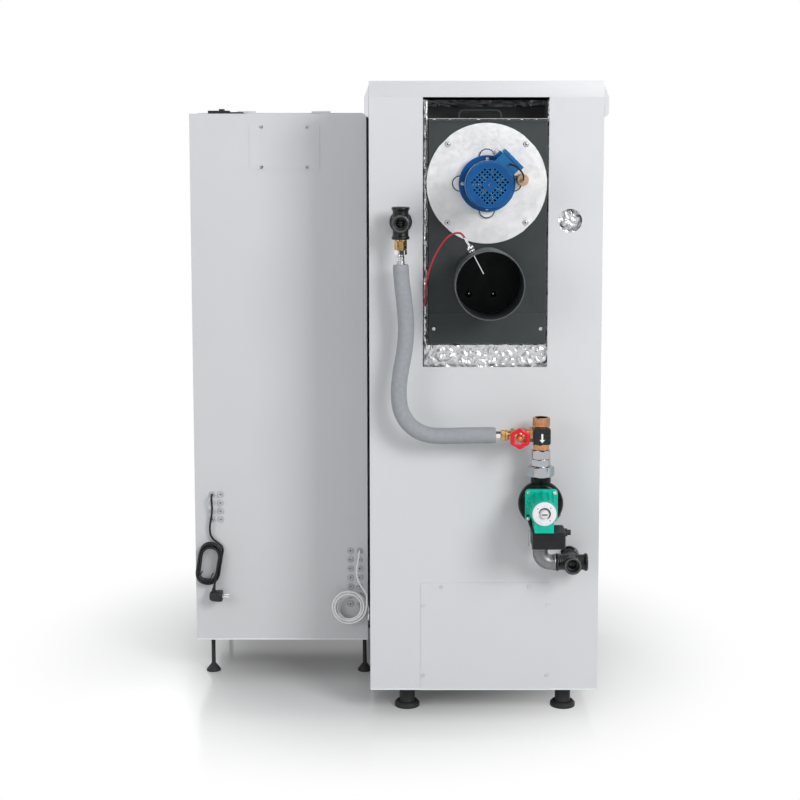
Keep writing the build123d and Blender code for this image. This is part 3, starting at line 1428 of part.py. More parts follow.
def bin_form(inset, mode):
    """The bin's outer or inner form: a straight upper box over a tapered funnel."""
    top_size = (bin_x[1] - bin_x[0] - 2 * inset, bin_y[1] - bin_y[0] - 2 * inset)
    outlet = (inlet_x[1] - inlet_x[0] - 2 * inset, inlet_y[1] - inlet_y[0] - 2 * inset)
    centre = (hopper_mid_x, sum(bin_y) / 2)
    with BuildSketch(Plane.XY.offset(bin_knee)) as knee:
        with Locations(centre):
            Rectangle(*top_size)
    extrude(knee.sketch, amount=bin_top - bin_knee, mode=mode)
    with BuildSketch(Plane.XY.offset(collar_z)) as mouth:
        with Locations((hopper_mid_x, auger_y)):
            Rectangle(*outlet)
    loft([mouth.sketch, knee.sketch], ruled=True, mode=mode)


with BuildPart() as hopper_bin:
    bin_form(0.0, Mode.ADD)
    block(
        (hopper_x0 + sheet + seat, hopper_x1 - sheet - seat),
        (front_y + sheet + seat, hopper_rear_y - sheet - seat),
        (bin_top - sheet, bin_top),
    )
    bin_form(sheet, Mode.SUBTRACT)
export(hopper_bin, "hopper_bin")

# Wound cables share one form: half turns joined by runs, spiralling in and out in layers
def wound_stations(outer, run, step, layer_step, halves, halves_per_layer):
    """Stations of (across, along, depth) and their directions, down the right side first."""
    stations = []
    width, depth, inward = outer, 0, True
    for i in range(halves + 1):
        side = 1 if i % 2 == 0 else -1
        climbs = 0 < i < halves and i % halves_per_layer == 0
        heading = (0, -side)
        stations.append(((side * width, side * run / 2, depth), heading))
        if climbs:
            inward = not inward
            if run:
                depth += layer_step
        if run:
            stations.append(((side * width, -side * run / 2, depth), heading))
        if i == halves:
            break
        following = width + (-step if inward else step)
        if climbs and not run:
            following = width
            depth += layer_step / 2
        lean = ((side * (width - following)) / 2, -side * (run / 2 + (width + following) / 2), depth)
        stations.append((lean, (-side, 0)))
        if climbs and not run:
            depth += layer_step / 2
        width = following
    return stations


def placed(stations, centre, tilt, first_depth):
    """Sets stations upright against a rear wall, with the top leaning towards the boiler."""
    c, d = cos(radians(tilt)), sin(radians(tilt))
    result = []
    for (across, along, depth), (da, dl) in stations:
        point = (
            centre[0] - (across * c + along * d),
            first_depth + depth,
            centre[1] - across * d + along * c,
        )
        result.append((point, (-(da * c + dl * d), 0, -da * d + dl * c)))
    return result


# Mains lead: out of its grommet and down the panel into a hank, then into its plug
hank_x = boiler_x1 + 424.5
hank_z = 311.5
hank_tilt = 10.0
hank_half = 30.2
hank_run = 54.0
hank_step = 3.05
hank_layer = 6.2
hank_first_y = hopper_rear_y + 4.5 + mains_r
hank_tail = 30.0
hank_path = placed(
    wound_stations(hank_half, hank_run, hank_step, hank_layer, 2 * hank_turns, 3),
    (hank_x, hank_z),
    hank_tilt,
    hank_first_y,
)
hank_out = Vector(*hank_path[-1][1])
hank_end = Vector(*hank_path[-1][0]) + hank_out * hank_tail
hank_path[-1] = (tuple(hank_end), tuple(hank_out))
with BuildPart() as mains_hank:
    hank_line = wind(hank_path, mains_r)
hank_gap = least_gap(hank_line, mains_r, 40.0)
print(f"mains hank: length {hank_line.length:.0f}, least gap {hank_gap:.2f}")
export(mains_hank, "mains_hank")

hank_in = Vector(*hank_path[0][1])
hank_start = Vector(*hank_path[0][0])
mains_points = [
    (mains_exit[0], hopper_rear_y + grommet_proud, mains_exit[1]),
    (mains_exit[0], hopper_rear_y + 16.0, mains_exit[1]),
    (mains_exit[0] - 0.5, hopper_rear_y + 22.0, mains_exit[1] - 13),
    (mains_exit[0] - 1.5, hopper_rear_y + 15.0, mains_exit[1] - 34),
    (mains_exit[0] + 1.5, hopper_rear_y + 11.0, mains_exit[1] - 58),
    (mains_exit[0] + 6.5, hopper_rear_y + 10.5, mains_exit[1] - 82),
    (mains_exit[0] + 6.0, hopper_rear_y + 9.0, mains_exit[1] - 99),
    (mains_exit[0] + 1.5, hopper_rear_y + 8.0, mains_exit[1] - 112.5),
    (mains_exit[0] - 8.5, hopper_rear_y + 7.25, mains_exit[1] - 122),
    (mains_exit[0] - 21.0, hopper_rear_y + 7.25, mains_exit[1] - 131),
    tuple(hank_start - hank_in * 14.0),
    tuple(hank_start),
]
with BuildPart() as mains_lead:
    least, length = tube(mains_points, mains_r)
print(f"mains lead: least radius {least:.1f}, length {length:.0f}")
export(mains_lead, "mains_lead")

plug_body = (34.0, 36.0, 26.0)
plug_neck = 12.0
plug_neck_r = 5.0
pin_r = 2.4
pin_length = 16.0
pin_apart = 19.0
plug_top = (hank_end + hank_out * (plug_neck - 3.0)).Z
plug_x1 = hank_end.X + 11.0
plug_x = (plug_x1 - plug_body[0], plug_x1)
plug_y = (hank_end.Y - plug_body[1] / 2, hank_end.Y + plug_body[1] / 2)
with BuildPart() as mains_plug:
    block(plug_x, plug_y, (plug_top - plug_body[2], plug_top))
    fillet(mains_plug.edges().filter_by(Axis.X), 8)
    fillet(mains_plug.edges().group_by(Axis.X)[-1], 4)
    disc(Plane(origin=hank_end, z_dir=hank_out), plug_neck_r, plug_neck)
    for y in (hank_end.Y - pin_apart / 2, hank_end.Y + pin_apart / 2):
        disc(directed((plug_x[0], y, plug_top - plug_body[2] / 2), right), pin_r, pin_length)
export(mains_plug, "mains_plug")

# Sensor cable: out of its grommet, down to a loose coil, ending in a small sleeve behind the coil
coil_x = boiler_x1 + 57.1
coil_z = 197.0
coil_outer = 46.5
coil_step = 3.25
coil_layer = 6.5
coil_first_y = hopper_rear_y + grommet_proud + 1.0 + sensor_r + 3 * coil_layer
coil_path = placed(
    wound_stations(coil_outer, 0.0, coil_step, -coil_layer, 2 * coil_turns, 4),
    (coil_x, coil_z),
    0.0,
    coil_first_y,
)
with BuildPart() as sensor_coil:
    coil_line = wind(coil_path, sensor_r)
coil_gap = least_gap(coil_line, sensor_r, 40.0, 3000)
print(f"sensor coil: length {coil_line.length:.0f}, least gap {coil_gap:.2f}")
export(sensor_coil, "sensor_coil")

coil_start = Vector(*coil_path[0][0])
sensor_points = [
    (sensor_exit[0], hopper_rear_y + grommet_proud, sensor_exit[1]),
    (sensor_exit[0], hopper_rear_y + 15.0, sensor_exit[1]),
    (sensor_exit[0] + 1.5, hopper_rear_y + 21.0, sensor_exit[1] - 12),
    (sensor_exit[0] + 5.0, hopper_rear_y + 20.5, sensor_exit[1] - 34),
    (sensor_exit[0] + 7.0, hopper_rear_y + 20.0, sensor_exit[1] - 56),
    (sensor_exit[0] + 2.5, hopper_rear_y + 21.5, sensor_exit[1] - 76),
    (sensor_exit[0] - 8.0, hopper_rear_y + 23.0, sensor_exit[1] - 93),
    (sensor_exit[0] - 19.0, coil_first_y, sensor_exit[1] - 108),
    (coil_start.X - 0.6, coil_first_y, coil_start.Z + 19.0),
    tuple(coil_start),
]
with BuildPart() as sensor_lead:
    least, length = tube(sensor_points, sensor_r)
print(f"sensor lead: least radius {least:.1f}, length {length:.0f}")
export(sensor_lead, "sensor_lead")

sleeve_r = 3.0
sleeve_length = 32.0
coil_end = Vector(*coil_path[-1][0])
with BuildPart() as sensor_sleeve:
    disc(Plane(origin=coil_end, z_dir=coil_path[-1][1]), sleeve_r, sleeve_length)
    chamfer(sensor_sleeve.edges().group_by(Axis.Z)[0], 1)
export(sensor_sleeve, "sensor_sleeve")
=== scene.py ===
"""Looks for the pellet boiler: the CAD frame with dressed skins, fittings, cables, lights and camera."""
import json
from math import cos, pi, radians, sin

import bmesh
import bpy
from mathutils import Matrix, Vector, noise


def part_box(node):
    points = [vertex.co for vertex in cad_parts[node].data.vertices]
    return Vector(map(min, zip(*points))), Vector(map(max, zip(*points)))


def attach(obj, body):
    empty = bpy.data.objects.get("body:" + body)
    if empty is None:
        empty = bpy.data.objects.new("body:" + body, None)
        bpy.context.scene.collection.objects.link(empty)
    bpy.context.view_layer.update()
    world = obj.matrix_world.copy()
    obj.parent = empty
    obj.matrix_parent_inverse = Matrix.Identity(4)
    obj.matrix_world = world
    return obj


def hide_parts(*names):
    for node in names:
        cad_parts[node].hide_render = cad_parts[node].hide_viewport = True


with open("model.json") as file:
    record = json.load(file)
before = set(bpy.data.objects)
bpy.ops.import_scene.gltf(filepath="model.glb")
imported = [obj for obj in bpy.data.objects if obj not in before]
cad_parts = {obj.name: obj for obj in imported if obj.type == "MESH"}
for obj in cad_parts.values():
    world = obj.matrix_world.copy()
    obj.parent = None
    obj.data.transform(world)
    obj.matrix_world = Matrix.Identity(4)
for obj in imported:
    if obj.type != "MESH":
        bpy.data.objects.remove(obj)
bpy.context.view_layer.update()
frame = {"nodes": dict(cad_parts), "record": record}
nodes = frame["nodes"]
bodies = frame["record"]["behaviour"]["bodies"]
carrier = {node: body for body, names in bodies.items() for node in names}
MM = 0.001

BACK, FRONT = (0, 1, 0), (0, -1, 0)
UP, DOWN = (0, 0, 1), (0, 0, -1)
LEFT, RIGHT = (1, 0, 0), (-1, 0, 0)  # as seen from behind, as in the photograph

# Places repeated from the CAD source, in millimetres
HOPPER_REAR_Y = 57.5
PIPE_Y = 372.5
SUPPLY = (-22.7, PIPE_Y, 1207)
RETURN = (-429.5, PIPE_Y, 399)
STACK_X = -354.5
FAN_X, FAN_Z = -225.5, 1298
FLUE_X, STUB_Z = -228, 1068
GATE_X, GATE_Z = -301.5, 706
BRANCH_Z = 708
PUMP_Z = 543
PANEL_FACE_Y = 312.5
PLATE_FACE_Y = 320.5
PLATE_BOLT_CIRCLE = 130.5
EAR_REACH = 63
FOIL_Y = 297.4


# Materials; widths and depths are in metres
EDGE_HIGHLIGHT_WIDTH = 0.0014
CREASE_DEPTH, DENT_DEPTH, GRAIN_DEPTH = 0.012, 0.004, 0.0008


def add(tree, kind, inputs=(), **settings):
    """Adds a shader node: first its settings, then its inputs, each a value or a socket to link."""
    made = tree.nodes.new("ShaderNode" + kind)
    for key, value in settings.items():
        setattr(made, key, value)
    for key, value in dict(inputs).items():
        if isinstance(value, bpy.types.NodeSocket):
            tree.links.new(value, made.inputs[key])
        else:
            made.inputs[key].default_value = value
    return made


def stuff(
    name,
    color,
    rough=0.5,
    metal=0,
    tone=(0.05, 6),
    rough_spread=0.08,
    grain=0,
    grain_size=900,
    dents=None,
    creases=None,
    edge=None,
    coat=0,
    second=None,
    spec=0.5,
):
    """A principled material whose tone, roughness and relief vary over the surface.

    Tone, dents and creases are pairs of a strength and a scale, and edge is a strength and a colour: a
    painted highlight along the edges.
    """
    look = bpy.data.materials.new(name)
    look.use_nodes = True
    tree = look.node_tree
    shader = tree.nodes["Principled BSDF"]
    shader.inputs["Metallic"].default_value = metal
    shader.inputs["Specular IOR Level"].default_value = spec
    if coat:
        shader.inputs["Coat Weight"].default_value = coat
        shader.inputs["Coat Roughness"].default_value = 0.12
    place = add(tree, "TexCoord").outputs["Object"]

    def clouds(size, detail):
        fields = {"Vector": place, "Scale": size, "Detail": detail, "Roughness": 0.55}
        return add(tree, "TexNoise", fields).outputs

    tone_share, tone_size = tone
    dark = second or tuple(c * (1 - tone_share) for c in color)
    light = tuple(min(1, c * (1 + tone_share)) for c in color)
    ramp = add(tree, "ValToRGB", {"Fac": clouds(tone_size, 4)["Fac"]})
    for stop, position, shade in zip(ramp.color_ramp.elements, (0.3, 0.7), (dark, light)):
        stop.position = position
        stop.color = (*shade, 1)
    base = ramp.outputs["Color"]
    # A lighter colour where the surface turns at an edge: painted highlight
    if edge:
        soft = add(tree, "Bevel", {"Radius": EDGE_HIGHLIGHT_WIDTH}, samples=4).outputs["Normal"]
        plain = add(tree, "NewGeometry").outputs["Normal"]
        turn = add(tree, "VectorMath", {0: soft, 1: plain}, operation="DOT_PRODUCT").outputs["Value"]
        limits = {"Value": turn, "From Min": 0.98, "From Max": 0.86, "To Max": edge[0]}
        share = add(tree, "MapRange", limits).outputs["Result"]
        colors = {"Factor": share, "A": base, "B": (*edge[1], 1)}
        base = add(tree, "Mix", colors, data_type="RGBA").outputs["Result"]
    tree.links.new(base, shader.inputs["Base Color"])
    limits = {"Value": clouds(tone_size * 3.1, 3)["Fac"], "From Min": 0.3, "From Max": 0.7}
    limits.update({"To Min": max(0.03, rough - rough_spread), "To Max": min(1, rough + rough_spread)})
    tree.links.new(add(tree, "MapRange", limits).outputs["Result"], shader.inputs["Roughness"])
    normal = None

    def relief(height, strength, distance):
        nonlocal normal
        fields = {"Strength": strength, "Distance": distance, "Height": height}
        if normal:
            fields["Normal"] = normal
        normal = add(tree, "Bump", fields).outputs["Normal"]

    if creases:
        strength, scale = creases
        warped = {"Factor": 0.12, "A": place, "B": clouds(scale * 0.4, 3)["Color"]}
        fields = {"Vector": add(tree, "Mix", warped, data_type="VECTOR").outputs["Result"], "Scale": scale}
        cells = add(tree, "TexVoronoi", fields, feature="DISTANCE_TO_EDGE")
        relief(cells.outputs["Distance"], strength, CREASE_DEPTH)
    if dents:
        strength, scale = dents
        relief(clouds(scale, 3)["Fac"], strength, DENT_DEPTH)
    if grain:
        relief(clouds(grain_size, 2)["Fac"], grain, GRAIN_DEPTH)
    if normal:
        tree.links.new(normal, shader.inputs["Normal"])
    return look


PANEL = (0.655, 0.665, 0.682)
# Each edge colour below is a painted highlight along the piece's edges
looks = {
    "casing": stuff("casing_paint", PANEL, 0.42, tone=(0.018, 1.6), grain=0.1, grain_size=1300),
    "hopper": stuff(
        "hopper_paint", (0.625, 0.635, 0.65), 0.45, tone=(0.02, 1.6), grain=0.1, grain_size=1300,
    ),
    "front_paint": stuff(
        "front_paint", (0.6, 0.61, 0.62), 0.38, tone=(0.02, 2), grain=0.12, grain_size=1100,
    ),
    "fascia": stuff("fascia_paint", (0.045, 0.048, 0.052), 0.4, tone=(0.1, 5), grain=0.2, grain_size=1200),
    "base": stuff("base_paint", (0.03, 0.03, 0.032), 0.55, tone=(0.15, 9), grain=0.15, spec=0.3),
    "smoke_box": stuff(
        "smoke_box_paint", (0.04, 0.047, 0.048), 0.5, tone=(0.16, 9), dents=(0.03, 25), grain=0.25,
        grain_size=1000, edge=(0.6, (0.25, 0.27, 0.27)), spec=0.25,
    ),
    "stub": stuff(
        "stub_paint", (0.045, 0.05, 0.053), 0.42, 0.2, tone=(0.2, 14), grain=0.15,
        edge=(0.7, (0.4, 0.42, 0.43)), spec=0.3,
    ),
    "plate": stuff(
        "plate_aluminium", (0.83, 0.83, 0.835), 0.45, 0.6, tone=(0.08, 34), rough_spread=0.13,
        dents=(0.03, 60), grain=0.1, grain_size=700,
    ),
    "blue": stuff(
        "motor_blue", (0.0005, 0.073, 0.25), 0.33, tone=(0.16, 25), grain=0.22, grain_size=800,
        edge=(0.85, (0.05, 0.4, 0.66)), coat=0.2, spec=0.18,
    ),
    "blue_light": stuff(
        "motor_blue_light", (0.003, 0.14, 0.36), 0.32, tone=(0.1, 25), grain=0.15,
        edge=(0.4, (0.2, 0.42, 0.8)), coat=0.3, spec=0.25,
    ),
    "steel": stuff(
        "zinc_steel", (0.62, 0.63, 0.64), 0.3, 1, tone=(0.12, 60), rough_spread=0.12, grain=0.15,
        grain_size=1100,
    ),
    "galvanised": stuff(
        "galvanised_iron", (0.235, 0.245, 0.25), 0.4, 0.9, tone=(0.14, 60),
        dents=(0.05, 120), grain=0.12, grain_size=700,
    ),
    # The nuts' bluish base and pinkish second tone copy coloured reflections on their facets: painted
    # reflection, spread at random
    "nut_steel": stuff(
        "nut_steel", (0.36, 0.44, 0.47), 0.13, 1, tone=(0.08, 28), rough_spread=0.04, grain=0.05,
        edge=(0.6, (0.92, 0.93, 0.94)), second=(0.48, 0.43, 0.45),
    ),
    "chrome": stuff("bright_chrome", (0.8, 0.8, 0.81), 0.12, 1, tone=(0.04, 60), rough_spread=0.05),
    "malleable": stuff(
        "black_malleable_iron", (0.008, 0.008, 0.009), 0.3, 0.2, tone=(0.35, 70), rough_spread=0.1,
        dents=(0.18, 330), grain=0.35, grain_size=1200, edge=(0.7, (0.2, 0.2, 0.205)), coat=0.1,
        spec=0.35,
    ),
    "cast": stuff(
        "pump_cast_black", (0.005, 0.006, 0.006), 0.15, tone=(0.3, 60), rough_spread=0.04,
        dents=(0.06, 160), grain=0.08, grain_size=1000, edge=(0.5, (0.1, 0.11, 0.115)), spec=0.14,
    ),
    "rough_iron": stuff(
        "rough_iron", (0.05, 0.048, 0.046), 0.7, 0.4, tone=(0.3, 30), dents=(0.3, 120), grain=0.5,
    ),
    "brass": stuff(
        "brass", (0.62, 0.4, 0.18), 0.22, 1, tone=(0.16, 90), rough_spread=0.1, grain=0.12,
        second=(0.44, 0.24, 0.09), edge=(0.4, (0.9, 0.72, 0.45)),
    ),
    "brass_dark": stuff(
        "brass_dark", (0.46, 0.28, 0.11), 0.3, 1, tone=(0.2, 90), rough_spread=0.12, dents=(0.1, 300),
        grain=0.2, edge=(0.5, (0.85, 0.66, 0.38)),
    ),
    "copper_brass": stuff(
        "copper_brass", (0.62, 0.31, 0.16), 0.14, 1, tone=(0.14, 90), rough_spread=0.09, grain=0.1,
        second=(0.44, 0.2, 0.09), edge=(0.6, (0.98, 0.8, 0.62)),
    ),
    "red": stuff(
        "handwheel_red", (0.76, 0.004, 0.025), 0.3, tone=(0.14, 80), dents=(0.1, 300), grain=0.15,
        edge=(0.4, (0.95, 0.08, 0.12)), coat=0.3, spec=0.2,
    ),
    "green": stuff(
        "pump_green", (0, 0.5, 0.35), 0.36, tone=(0.12, 45), dents=(0.06, 260), grain=0.3,
        grain_size=1000, edge=(0.5, (0.06, 0.66, 0.5)), coat=0.15, spec=0.12,
    ),
    "white_face": stuff("face_white", (0.8, 0.79, 0.82), 0.35, tone=(0.03, 60), grain=0.06, coat=0.2),
    "knob": stuff("knob_white", (0.72, 0.72, 0.73), 0.3, tone=(0.03, 60), coat=0.2),
    "black_plastic": stuff(
        "black_plastic", (0.016, 0.018, 0.02), 0.42, tone=(0.15, 50), grain=0.35, grain_size=1500,
        edge=(0.35, (0.07, 0.075, 0.08)), spec=0.35,
    ),
    "box_plastic": stuff(
        "terminal_plastic", (0.012, 0.014, 0.016), 0.4, tone=(0.2, 40), grain=0.4, grain_size=1500,
        edge=(0.5, (0.09, 0.1, 0.11)), spec=0.25,
    ),
    "cover_plastic": stuff(
        "cover_plastic", (0.006, 0.013, 0.016), 0.3, tone=(0.15, 60), grain=0.15,
        edge=(0.35, (0.06, 0.08, 0.09)), coat=0.2, spec=0.3,
    ),
    # White mark: print on the valve's cover, and a painted highlight on the sheets' hems
    "white_mark": stuff("white_mark", (0.86, 0.88, 0.9), 0.5, tone=(0.03, 200), grain=0.1),
    # Dark mark: print on the pump's face, and painted shade in the recesses of bolt heads and the knob's slot
    "dark_mark": stuff("dark_mark", (0.03, 0.03, 0.035), 0.5, tone=(0.2, 300), grain=0.1),
    "foil": stuff(
        "crumpled_foil", (0.68, 0.69, 0.705), 0.33, 0.95, tone=(0.06, 40), rough_spread=0.08,
        creases=(0.22, 40), dents=(0.12, 60),
    ),
    "braid": stuff(
        "steel_braid", (0.55, 0.56, 0.57), 0.34, 1, tone=(0.3, 700), grain=0.5, grain_size=700,
    ),
    "foam": stuff(
        "foam_sleeve", (0.33, 0.345, 0.37), 0.8, tone=(0.06, 90), dents=(0.1, 420), grain=0.5,
        grain_size=1500, spec=0.2,
    ),
    "grommet": stuff(
        "grommet_rubber", (0.5, 0.52, 0.53), 0.5, tone=(0.08, 120), grain=0.15,
        edge=(0.4, (0.72, 0.73, 0.74)),
    ),
    "grommet_dark": stuff("grommet_shade", (0.16, 0.17, 0.175), 0.6, tone=(0.1, 120), grain=0.1),
    "black_cable": stuff(
        "black_sheath", (0.012, 0.012, 0.014), 0.36, tone=(0.2, 120), grain=0.15, spec=0.3,
    ),
    "white_cable": stuff("white_sheath", (0.86, 0.86, 0.86), 0.42, tone=(0.04, 90), grain=0.1),
    "red_cable": stuff("red_sheath", (0.42, 0.022, 0.035), 0.42, tone=(0.12, 120), grain=0.12),
    # A lighter iron for the fittings' port mouths: painted highlight on the rims
    "worn_iron": stuff("worn_iron", (0.085, 0.085, 0.088), 0.28, 0.5, tone=(0.2, 90), grain=0.2),
    "gland": stuff(
        "gland_grey", (0.5, 0.51, 0.5), 0.4, 0.3, tone=(0.08, 80), grain=0.15,
        edge=(0.4, (0.8, 0.8, 0.8)),
    ),
    # A darker copy of the foil for the flap in the cavity: painted shade
    "dark_foil": stuff(
        "shaded_foil", (0.2, 0.21, 0.215), 0.4, 0.9, tone=(0.3, 40), rough_spread=0.1, creases=(0.2, 40),
        dents=(0.15, 60),
    ),
    "beige": stuff(
        "beige_moulding", (0.55, 0.36, 0.22), 0.4, tone=(0.12, 110), grain=0.2,
        edge=(0.4, (0.8, 0.62, 0.45)),
    ),
    "vessel": stuff(
        "vessel_paint", (0.035, 0.035, 0.037), 0.6, 0.2, tone=(0.25, 12), dents=(0.05, 30), grain=0.4,
    ),
    "bin": stuff(
        "galvanised_sheet", (0.52, 0.53, 0.54), 0.4, 0.85, tone=(0.16, 26), rough_spread=0.14, grain=0.1,
    ),
}


# Shapes
def basis(origin, direction, turn=0):
    """A frame whose z runs along a direction, with x as near up as it goes, or left for upright ones."""
    z = Vector(direction).normalized()
    x = Vector((0, 0, 1)) if abs(z.z) < 0.9 else Vector((1, 0, 0))
    x = (x - z * x.dot(z)).normalized()
    made = Matrix((x, z.cross(x), z)).transposed().to_4x4()
    made.translation = Vector(origin)
    return made @ Matrix.Rotation(radians(turn), 4, "Z")


def polar(place, radius, angle, height):
    """A point by its radius, angle and height in a place."""
    return place @ Vector((radius * cos(angle), radius * sin(angle), height))


def circle(place, radius, height, steps):
    """Points round a place's z axis."""
    return [polar(place, radius, 2 * pi * i / steps, height) for i in range(steps)]


def put(name, data):
    """Puts a mesh, curve, lamp or camera in the scene."""
    made = bpy.data.objects.new(name, data)
    bpy.context.scene.collection.objects.link(made)
    return made


def to_mesh(bm, name):
    """Turns mesh code into a mesh."""
    mesh = bpy.data.meshes.new(name)
    bm.to_mesh(mesh)
    bm.free()
    return mesh


class Shape:
    """Mesh code for one piece, in millimetres in the row frame."""

    def __init__(self):
        self.bm = bmesh.new()

    def rings(self, rows, closed_path=False, caps=True):
        made = [[self.bm.verts.new(p) for p in row] for row in rows]
        count = len(made)
        spans = range(count if closed_path else count - 1)
        for i in spans:
            a, b = made[i], made[(i + 1) % count]
            for j in range(len(a)):
                k = (j + 1) % len(a)
                self.bm.faces.new((a[j], a[k], b[k], b[j]))
        if caps and not closed_path:
            for row in (list(reversed(made[0])), made[-1]):
                self.bm.faces.new(row)
        return self

    def lathe(self, place, profile, steps=48, closed=False):
        """Turns a profile of (radius, height) about the place's z axis."""
        return self.rings([circle(place, max(r, 0.01), h, steps) for r, h in profile], closed_path=closed)

    def nut(self, place, flats, length, sides=6, bore=0, steps=72, soft=1):
        """A nut or hexagon with turned chamfers on its corners."""
        heights = [0, 0.3, 0.7, 1.2, 2, 3.2]
        heights = [h for h in heights if h < length / 2]
        levels = heights + [length - h for h in reversed(heights)]
        rows = []
        for level in levels:
            near = min(level, length - level)
            row = []
            for i in range(steps):
                angle = 2 * pi * i / steps
                local = (angle % (2 * pi / sides)) - pi / sides
                flat = flats / 2 / cos(local)
                corner = flats / 2 / cos(pi / sides)
                flat = min(flat, corner - 0.35 * soft)
                radius = min(flat, flats / 2 - 0.5 * soft + near * 1.7)
                row.append(polar(place, radius, angle, level))
            rows.append(row)
        if bore:
            rows += [circle(place, bore, level, steps) for level in (length, 0)]
            return self.rings(rows, closed_path=True)
        return self.rings(rows)

    def layers(self, place, levels):
        """Joins outlines, each a height along the place's z axis and its points."""
        return self.rings([[place @ Vector((x, y, h)) for x, y in points] for h, points in levels])

    def outline(self, place, points, low, high):
        return self.layers(place, [(low, points), (high, points)])

    def block(self, low, high):
        corners = [(low[0], low[1]), (high[0], low[1]), (high[0], high[1]), (low[0], high[1])]
        return self.rings([[Vector((x, y, z)) for x, y in corners] for z in (low[2], high[2])])

    def pipe(self, points, radius, steps=20, caps=True):
        """A tube through points, with one radius or one for each point."""
        points = [Vector(p) for p in points]
        radii = radius if isinstance(radius, (list, tuple)) else [radius] * len(points)
        rows, side = [], None
        for i, p in enumerate(points):
            ahead = (points[min(i + 1, len(points) - 1)] - points[max(i - 1, 0)]).normalized()
            if side is None:
                side = Vector((0, 0, 1)) if abs(ahead.z) < 0.9 else Vector((0, 1, 0))
            side = (side - ahead * side.dot(ahead)).normalized()
            other = ahead.cross(side)
            angles = [2 * pi * j / steps for j in range(steps)]
            rows.append([p + (side * cos(a) + other * sin(a)) * radii[i] for a in angles])
        return self.rings(rows, caps=caps)

    def make(self, name, look, body="boiler", replaces=(), slot=None, bevel=0, smooth=35):
        self.bm.normal_update()
        bmesh.ops.recalc_face_normals(self.bm, faces=self.bm.faces)
        mesh = to_mesh(self.bm, name)
        mesh.transform(Matrix.Scale(MM, 4))
        return settle(name, mesh, look, body, replaces, bevel, smooth=smooth)


def turned(name, look, place, profile, steps=48, closed=False, **settings):
    """A piece made of one turned profile."""
    return Shape().lathe(place, profile, steps, closed).make(name, look, **settings)


def settle(name, mesh, look, body, replaces=(), bevel=0, segments=2, smooth=35, flat=()):
    """Puts a mesh in the scene as a piece that rides on its body."""
    for each in look if isinstance(look, (list, tuple)) else [look]:
        mesh.materials.append(looks[each])
    mesh.shade_smooth()
    for index in flat:
        mesh.polygons[index].use_smooth = False
    if not bevel:
        mesh.set_sharp_from_angle(angle=radians(smooth))
    piece = put(name, mesh)
    if bevel:
        rounding = piece.modifiers.new("edges", "BEVEL")
        rounding.width = bevel * MM
        rounding.segments = segments
        rounding.limit_method = "ANGLE"
        rounding.angle_limit = radians(smooth)
        rounding.use_clamp_overlap = True
        rounding.harden_normals = True
    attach(piece, body)
    if replaces:
        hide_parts(*replaces)
    return piece


def dress(node, look, bevel=0.8, segments=2, angle=34, pick=None):
    """A skin over a CAD node: the node's own form with rounded edges."""
    source = nodes[node].data
    bm = bmesh.new()
    bm.from_mesh(source)
    bmesh.ops.remove_doubles(bm, verts=bm.verts, dist=1e-6)
    bmesh.ops.dissolve_limit(bm, angle_limit=radians(0.4), verts=bm.verts, edges=bm.edges)
    for face in bm.faces:
        face.material_index = pick(face.calc_center_median() / MM) if pick else 0
    flat = []
    for index, face in enumerate(bm.faces):
        bends = [edge.calc_face_angle(1.5) for edge in face.edges]
        if all(bend < 0.01 or bend > 0.6 for bend in bends):
            flat.append(index)
    name = node + "_skin"
    return settle(name, to_mesh(bm, name), look, carrier[node], (node,), bevel, segments, angle, flat)


def rounded(width, height, radius, steps=6):
    """The outline of a rounded rectangle."""
    points = []
    for cx, cy, start in ((1, 1, 0), (-1, 1, 90), (-1, -1, 180), (1, -1, 270)):
        x, y = cx * (width / 2 - radius), cy * (height / 2 - radius)
        for i in range(steps + 1):
            a = radians(start + 90 * i / steps)
            points.append((x + radius * cos(a), y + radius * sin(a)))
    return points


# Casing, covers and front
for look, bevel, segments, names in (
    ("casing", 0.9, 2, "rear_panel side_panels"),
    ("casing", 1.6, 3, "top_lid"),
    ("hopper", 0.9, 2, "hopper_shell"),
    ("front_paint", 1.2, 2, "hopper_lid"),
    ("bin", 0.5, 2, "hopper_bin"),
    ("base", 0.8, 2, "base_frames"),
    ("base", 0.6, 2, "front_frame"),
    ("vessel", 1, 2, "vessel"),
    ("front_paint", 2.2, 3, "upper_door lower_door"),
    ("black_plastic", 3, 3, "upper_handle lower_handle"),
    ("fascia", 1.5, 2, "control_panel"),
    ("black_plastic", 1.2, 3, "control_dial"),
    ("black_plastic", 1, 3, "power_button"),
    ("vessel", 0.6, 2, "ash_drawer"),
    ("rough_iron", 1.2, 2, "burner_pot"),
    ("galvanised", 0.6, 2, "auger_tube"),
    ("steel", 0.3, 2, "auger_screw"),
    ("base", 1.5, 2, "auger_gearmotor"),
    ("smoke_box", 0.8, 2, "flue_box"),
    ("black_plastic", 0.8, 2, "lid_switch"),
    ("plate", 0.7, 2, "fan_plate"),
    ("blue", 0.6, 2, "motor_body"),
    ("blue", 0.7, 2, "fan_cowl"),
    ("steel", 0.4, 2, "fan_rotor"),
    ("beige", 0.9, 3, "motor_capacitor"),
    ("stub", 0.7, 2, "flue_stub"),
    ("chrome", 0.6, 2, "flue_probe"),
    ("foil", 1.5, 2, "foil_insulation"),
    ("steel", 0.5, 2, "screws_and_bolts"),
    ("box_plastic", 1.2, 3, "pump_terminal_box"),
    ("base", 0.4, 2, "levelling_feet"),
):
    for node in names.split():
        dress(node, look, bevel, segments)


def cover_look(centre):
    """The look of the hopper's plate (2), the smoke box's cover (1) or the boiler's lower cover (0)."""
    if centre.x > 60:
        return 2
    return 1 if centre.z > 900 else 0


